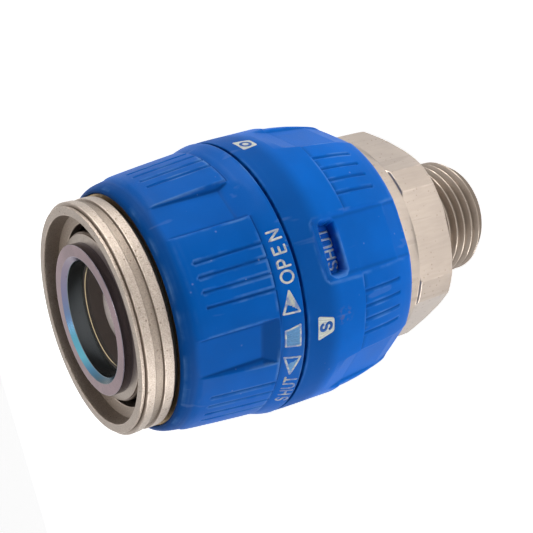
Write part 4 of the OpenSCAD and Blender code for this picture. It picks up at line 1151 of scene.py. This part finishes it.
class COUPLING_OT_nose(bpy.types.Operator):
    """Makes the heat-tinted nose ring and the flange ring behind it"""

    bl_idname = "coupling.nose"
    bl_label = "Nose rings"

    def execute(self, context):
        finish = context.scene.coupling_finish
        head, flange_rim = radius_of("nose_ring"), radius_of("seat_retainer")
        bore, chamfer, skirt, tube = 9.1, 9.88, 11.0, 12.28
        face, head_end, skirt_end = 0.12, 1.65, 3.52
        tinted = finish_tinted("steel_tinted", tuple(finish.tint), tuple(finish.tint_inner),
                               bore * MM, (chamfer + 0.02) * MM, head * MM)
        ring = lathe("nose_ring_turned", [
            (bore, 0.9, 0.05), (chamfer, face, 0.05), (head, face, 0.12), (head, head_end, 0.05),
            (skirt, head_end, 0.02), (skirt, skirt_end, 0.05), (bore, skirt_end, 0.05)],
            "housing", tinted, count=288, steps=4)
        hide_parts("nose_ring")
        nickel = tuple(finish.nickel)
        turned = finish_metal("nickel_turned", shade(nickel, 0.82), rough=0.3, pitted=0.3,
                              grain_scale=1800.0, hollow_darkening=0.7, bump=0.16)
        flange = lathe("seat_retainer_turned", [
            (skirt + 0.02, head_end, 0.02), (head + 0.02, head_end, 0.03), (flange_rim, 1.85, 0.1),
            (flange_rim, 2.5, 0.08), (tube, 2.5, 0.02), (tube, 5.2, 0.05), (skirt + 0.02, 5.2, 0.05)],
            "housing", turned, count=288, steps=4)
        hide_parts("seat_retainer")
        return {"FINISHED"}


class COUPLING_OT_adapter(bpy.types.Operator):
    """Makes the adapter with its spanner flats and male pipe thread"""

    bl_idname = "coupling.adapter"
    bl_label = "Adapter"

    def execute(self, context):
        nickel = tuple(context.scene.coupling_finish.nickel)
        thread = context.scene.coupling_thread
        pitch, tall = thread.pitch / MM, thread.height / MM
        hex_start, hex_end, hex_turn = 50.1, 58.2, -7.0
        flat_r, corner_r, neck, spigot, bore = 17.0, 18.6, 18.2, 16.6, 7.6
        hidden_neck, groove, tail_bore, crest = 16.9, 15.9, 14.22, 10.42

        def thread_skin(angle, depth):
            phase = (TOTAL - depth) / pitch - angle / 360.0
            saw = np.abs((phase % 1.0) - 0.5) * 2.0
            rise = np.clip((saw - 0.1) / 0.86, 0.0, 1.0)
            taper = (depth - 66.0) / 32.0
            ends = blend_step(depth, hex_end + 0.5, hex_end + 1.5)
            ends = ends * (1.0 - blend_step(depth, TOTAL - 1.5, TOTAL - 0.5))
            root = crest - tall - taper * 0.5
            top = crest - taper * 0.5
            tip = np.minimum(top, crest - 0.1 - (depth - (TOTAL - 1.1)) * 0.9)
            return np.minimum(root + (top - root) * (rise * ends), tip)

        def hex_skin(angle, depth):
            flat = flat_r / np.cos(np.radians(turn_to(angle * 6.0, hex_turn * 6.0) / 6.0))
            cone = corner_r - np.clip(depth - (hex_end - 1.1), 0.0, 9.0) * 1.35
            lead = neck + np.clip(depth - hex_start, 0.0, 9.0) * 1.6
            return soft_min(soft_min(flat, np.minimum(cone, lead), 0.05), corner_r + 0 * flat, 0.05)

        corners = [hex_turn + 30.0 + 60.0 * i for i in range(6)]
        angles = angles_round(240, (corners, np.concatenate([
            np.arange(-7.2, -5.0, 0.22), np.arange(5.0, 7.3, 0.22)])))
        neck_rows = [
            [spigot, 34.0], [spigot, 35.0], [groove, 35.02], [groove, 36.0], [spigot, 36.02],
            [spigot, 44.8], [hidden_neck, 44.85], [hidden_neck, REAR_END + 0.05],
            [neck, REAR_END + 0.15], [neck, 48.0], [neck, hex_start - 0.02]]
        hex_rows = spread((hex_start, hex_start + 0.55, 9), (hex_start + 0.55, hex_end - 1.2, 5),
                          (hex_end - 1.2, hex_end - 0.04, 9))
        thread_rows = spread((hex_end, TOTAL - 1.6, 120), (TOTAL - 1.6, TOTAL, 18))
        grid_a = angles[:, None]
        ones = np.ones_like(grid_a)
        parts_r = [ones * r for r, d in neck_rows]
        parts_d = [ones * d for r, d in neck_rows]
        parts_r += [hex_skin(grid_a, d) for d in hex_rows]
        parts_d += [ones * d for d in hex_rows]
        for r in (hidden_neck, 15.0, 12.5, 10.6):
            parts_r.append(ones * r)
            parts_d.append(ones * hex_end)
        parts_r += [thread_skin(grid_a, d * ones) for d in thread_rows]
        parts_d += [ones * d for d in thread_rows]
        inner = [(8.0, TOTAL), (bore, TOTAL - 0.4), (bore, 60.0), (bore, 45.5), (bore + 0.1, 45.4),
                 (tail_bore, 45.4), (tail_bore, 45.2), (tail_bore, 33.2), (14.4, 33.0),
                 (16.2, 33.0), (16.5, 33.2)]
        parts_r += [ones * r for r, d in inner]
        parts_d += [ones * d for r, d in inner]
        all_r, all_d = np.concatenate(parts_r, 1), np.concatenate(parts_d, 1)
        rows = all_r.shape[1]
        verts = place(grid_a, all_r, all_d).reshape(-1, 3)
        ridge = np.zeros_like(all_r)
        hollow = np.zeros_like(all_r)
        first = len(neck_rows)
        last = first + len(hex_rows)
        off = np.abs(turn_to(grid_a * 6.0, hex_turn * 6.0) / 6.0)
        edge = np.clip(1.0 - np.abs(off - 23.9) / 0.55, 0.0, 1.0)
        ridge[:, first:last] = edge
        start = last + 4
        stop = start + len(thread_rows)
        # Painted light on the thread: the ridge mark gives its crests a painted highlight, the hollow mark
        # its valleys painted shade and the whole thread a darker, warmer colour of its own.
        lift = all_r[:, start:stop] - (crest - tall)
        ridge[:, start:stop] = blend_step(lift, tall * 0.8, tall * 1.0)
        hollow[:, start:stop] = 1.0 - 0.5 * blend_step(lift, 0.0, tall * 0.7)
        # The rows of the hex's rear face are darkened as well.
        hollow[:, start - 4:start] = 0.6
        marks = {"ridge": ridge.ravel(), "hollow": hollow.ravel()}
        machined = finish_metal(
            "nickel_machined", nickel, rough=0.3, pitted=0.35, grain_pull=(1.0, 1.0, 0.12),
            grain_scale=1500.0, hollow_darkening=0.95, scratched=0.5, bump=0.06, fleck=0.12)
        piece = make_object("adapter_threaded", verts, ring_faces(len(angles), rows).tolist(),
                            "housing", machined, marks)
        mend_normals(piece)
        even_shading(piece)
        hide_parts("adapter")
        return {"FINISHED"}


class COUPLING_OT_inner_parts(bpy.types.Operator):
    """Gives the inner parts their finishes"""

    bl_idname = "coupling.inner_parts"
    bl_label = "Inner parts"

    def execute(self, context):
        finish = context.scene.coupling_finish
        nickel = tuple(finish.nickel)
        rubber = finish_rubber("rubber_black", (0.012, 0.012, 0.013, 1.0))
        steel = finish_metal("steel_plain", (0.5, 0.5, 0.51, 1.0), rough=0.28, pitted=0.2, hollow_darkening=0.3)
        dull = finish_metal("nickel_dull", shade(nickel, 0.6), rough=0.32, pitted=0.3, hollow_darkening=0.8)
        ball = finish_metal("ball_plated", (0.52, 0.45, 0.42, 1.0), rough=0.62, pitted=0.15,
                            hollow_darkening=0.2, scratched=0.25, bump=0.05)
        bronze = finish_metal("bronze_rough", (0.42, 0.3, 0.16, 1.0), rough=0.36, pitted=0.9,
                              grain_scale=1200.0, hollow_darkening=0.9, bump=0.8)
        seat = finish_polymer("seat_cream", (0.3, 0.26, 0.24, 1.0), 0.1)
        # The drum's lifted blue is painted light for the shade in the window.
        navy = finish_polymer("drum_navy", tuple(finish.navy), finish.wear * 0.6)
        # A thin gold ring at the seat's edge stands in for a glint line there: a painted highlight.
        glint_gold = finish_metal("seat_edge_glint", (0.62, 0.5, 0.3, 1.0), rough=0.2, pitted=0.3)
        seat_low = depth_of("front_seat") + 0.02
        lathe("seat_edge", [(8.4, seat_low + 0.1, 0.02), (8.48, seat_low - 0.03, 0.02),
                            (8.56, seat_low + 0.1, 0.02)], "housing", glint_gold, count=128)
        for nodes, material in (
                (("seat_o_rings", "socket_gasket", "stem_o_rings", "wiper_ring", "tail_o_ring"), rubber),
                (("seat_springs", "pinion_stems", "cam_pins", "retaining_ring", "anti_turn_keys"), steel),
                (("valve_body", "rack_carriage"), dull), (("valve_ball",), ball),
                (("bearing_bush",), bronze), (("front_seat", "rear_seat"), seat),
                (("indicator_drum",), navy)):
            for node in nodes:
                for held in frame["nodes"][node].material_slots:
                    held.link = "OBJECT"
                    held.material = material
        return {"FINISHED"}


class COUPLING_OT_stage(bpy.types.Operator):
    """Sets the camera, the lights, the pale floor and the white surroundings"""

    bl_idname = "coupling.stage"
    bl_label = "Stage"

    def execute(self, context):
        scene = context.scene
        stage = scene.coupling_stage
        scene.view_settings.view_transform = "Standard"

        camera = bpy.data.objects.new("camera", bpy.data.cameras.new("camera"))
        scene.collection.objects.link(camera)
        right = Vector((-0.28608, -0.486538, -0.825493))
        up = Vector((0.958205, -0.146202, -0.245902))
        back = Vector((-0.001048, -0.861339, 0.508029))
        pose = Matrix((right, up, back)).transposed().to_4x4()
        pose.translation = Vector((0.0, -0.136255, 0.121297))
        camera.matrix_world = pose
        camera.data.sensor_width = 36.0
        camera.data.lens = stage.lens
        camera.data.clip_start = 0.01
        scene.camera = camera

        middle = Vector((0.0, 0.0, TOTAL * MM * 0.55))
        under = Vector((0.0, -0.10, 0.0))
        for name, spot, aim, wide, tall, power, tone in (
                ("key", (0.34, -0.12, 0.05), middle, 0.30, 0.08, stage.key, (1.0, 0.99, 0.97)),
                ("fill", (-0.34, -0.12, 0.05), middle, 0.30, 0.08, stage.key * 0.9, (0.97, 0.985, 1.0)),
                ("rim", (0.0, 0.36, 0.04), middle, 0.30, 0.06, stage.rim, (1.0, 1.0, 1.0)),
                ("pool", (0.0, -0.11, 0.30), under, 0.10, 0.08, stage.pool, (1.0, 0.99, 0.97))):
            light = bpy.data.lights.new(name, "AREA")
            light.shape = "RECTANGLE"
            light.size = wide
            light.size_y = tall
            light.spread = math.radians(40.0 if name == "pool" else 180.0)
            light.energy = power
            light.color = tone
            lamp = bpy.data.objects.new(name, light)
            scene.collection.objects.link(lamp)
            lamp.location = spot
            lamp.rotation_euler = (aim - Vector(spot)).to_track_quat("-Z", "Y").to_euler()

        material, tree, shader = new_material("floor_pale", Roughness=0.8)
        shader.inputs["Base Color"].default_value = (0.88, 0.88, 0.88, 1.0)
        path = add(tree, "ShaderNodeLightPath")
        seen = math_node(tree, "MAXIMUM", path.outputs["Is Camera Ray"], path.outputs["Is Glossy Ray"])
        glow = add(tree, "ShaderNodeEmission", {"Strength": math_node(tree, "MULTIPLY", seen, 0.8)})
        both = add(tree, "ShaderNodeAddShader", {0: shader.outputs[0], 1: glow.outputs[0]})
        out = [n for n in tree.nodes if n.type == "OUTPUT_MATERIAL"][0]
        tree.links.new(both.outputs[0], out.inputs[0])
        half = 0.6
        mesh = bpy.data.meshes.new("floor")
        mesh.from_pydata([(-half, -half, 0.0), (half, -half, 0.0), (half, half, 0.0), (-half, half, 0.0)],
                         [], [(0, 1, 2, 3)])
        mesh.materials.append(material)
        floor = bpy.data.objects.new("floor", mesh)
        scene.collection.objects.link(floor)

        world = bpy.data.worlds.new("surroundings")
        scene.world = world
        world.use_nodes = True
        tree = world.node_tree
        tree.nodes.clear()
        path = add(tree, "ShaderNodeLightPath")
        seen = math_node(tree, "MAXIMUM", path.outputs["Is Camera Ray"], path.outputs["Is Glossy Ray"])
        seen = math_node(tree, "MAXIMUM", seen, path.outputs["Is Transmission Ray"])
        plain = add(tree, "ShaderNodeBackground", {0: (1.0, 1.0, 1.0, 1.0), 1: stage.sky})
        white = add(tree, "ShaderNodeBackground", {0: (1.0, 1.0, 1.0, 1.0), 1: 1.0})
        pick = add(tree, "ShaderNodeMixShader", {0: seen, 1: plain.outputs[0], 2: white.outputs[0]})
        out = add(tree, "ShaderNodeOutputWorld", {0: pick.outputs[0]})
        return {"FINISHED"}


class COUPLING_PT_panel(bpy.types.Panel):
    """Lists the pieces of the coupling and their settings"""

    bl_label = "Quick coupling"
    bl_idname = "COUPLING_PT_panel"
    bl_space_type = "VIEW_3D"
    bl_region_type = "UI"
    bl_category = "Coupling"

    def draw(self, context):
        for operator in PIECES:
            self.layout.operator(operator.bl_idname, text=operator.bl_label)
        for key, group_class in SETTINGS.items():
            box = self.layout.box()
            for label in group_class.__annotations__:
                box.prop(getattr(context.scene, key), label)


PIECES = (
    COUPLING_OT_front_sleeve, COUPLING_OT_rear_sleeve, COUPLING_OT_marks, COUPLING_OT_collar,
    COUPLING_OT_nose, COUPLING_OT_adapter, COUPLING_OT_inner_parts, COUPLING_OT_stage)
CLASSES = tuple(SETTINGS.values()) + PIECES + (COUPLING_PT_panel,)


def register():
    """Adds the classes, and the settings of each group to the scene."""
    for cls in CLASSES:
        bpy.utils.register_class(cls)
    for key, group_class in SETTINGS.items():
        setattr(bpy.types.Scene, key, bpy.props.PointerProperty(type=group_class))


def unregister():
    """Takes the settings and the classes away again."""
    for key in SETTINGS:
        delattr(bpy.types.Scene, key)
    for cls in reversed(CLASSES):
        bpy.utils.unregister_class(cls)


def main():
    """Makes every piece and the stage."""
    register()
    for operator in PIECES:
        space, call = operator.bl_idname.split(".")
        getattr(getattr(bpy.ops, space), call)()


if __name__ == "__main__":
    main()
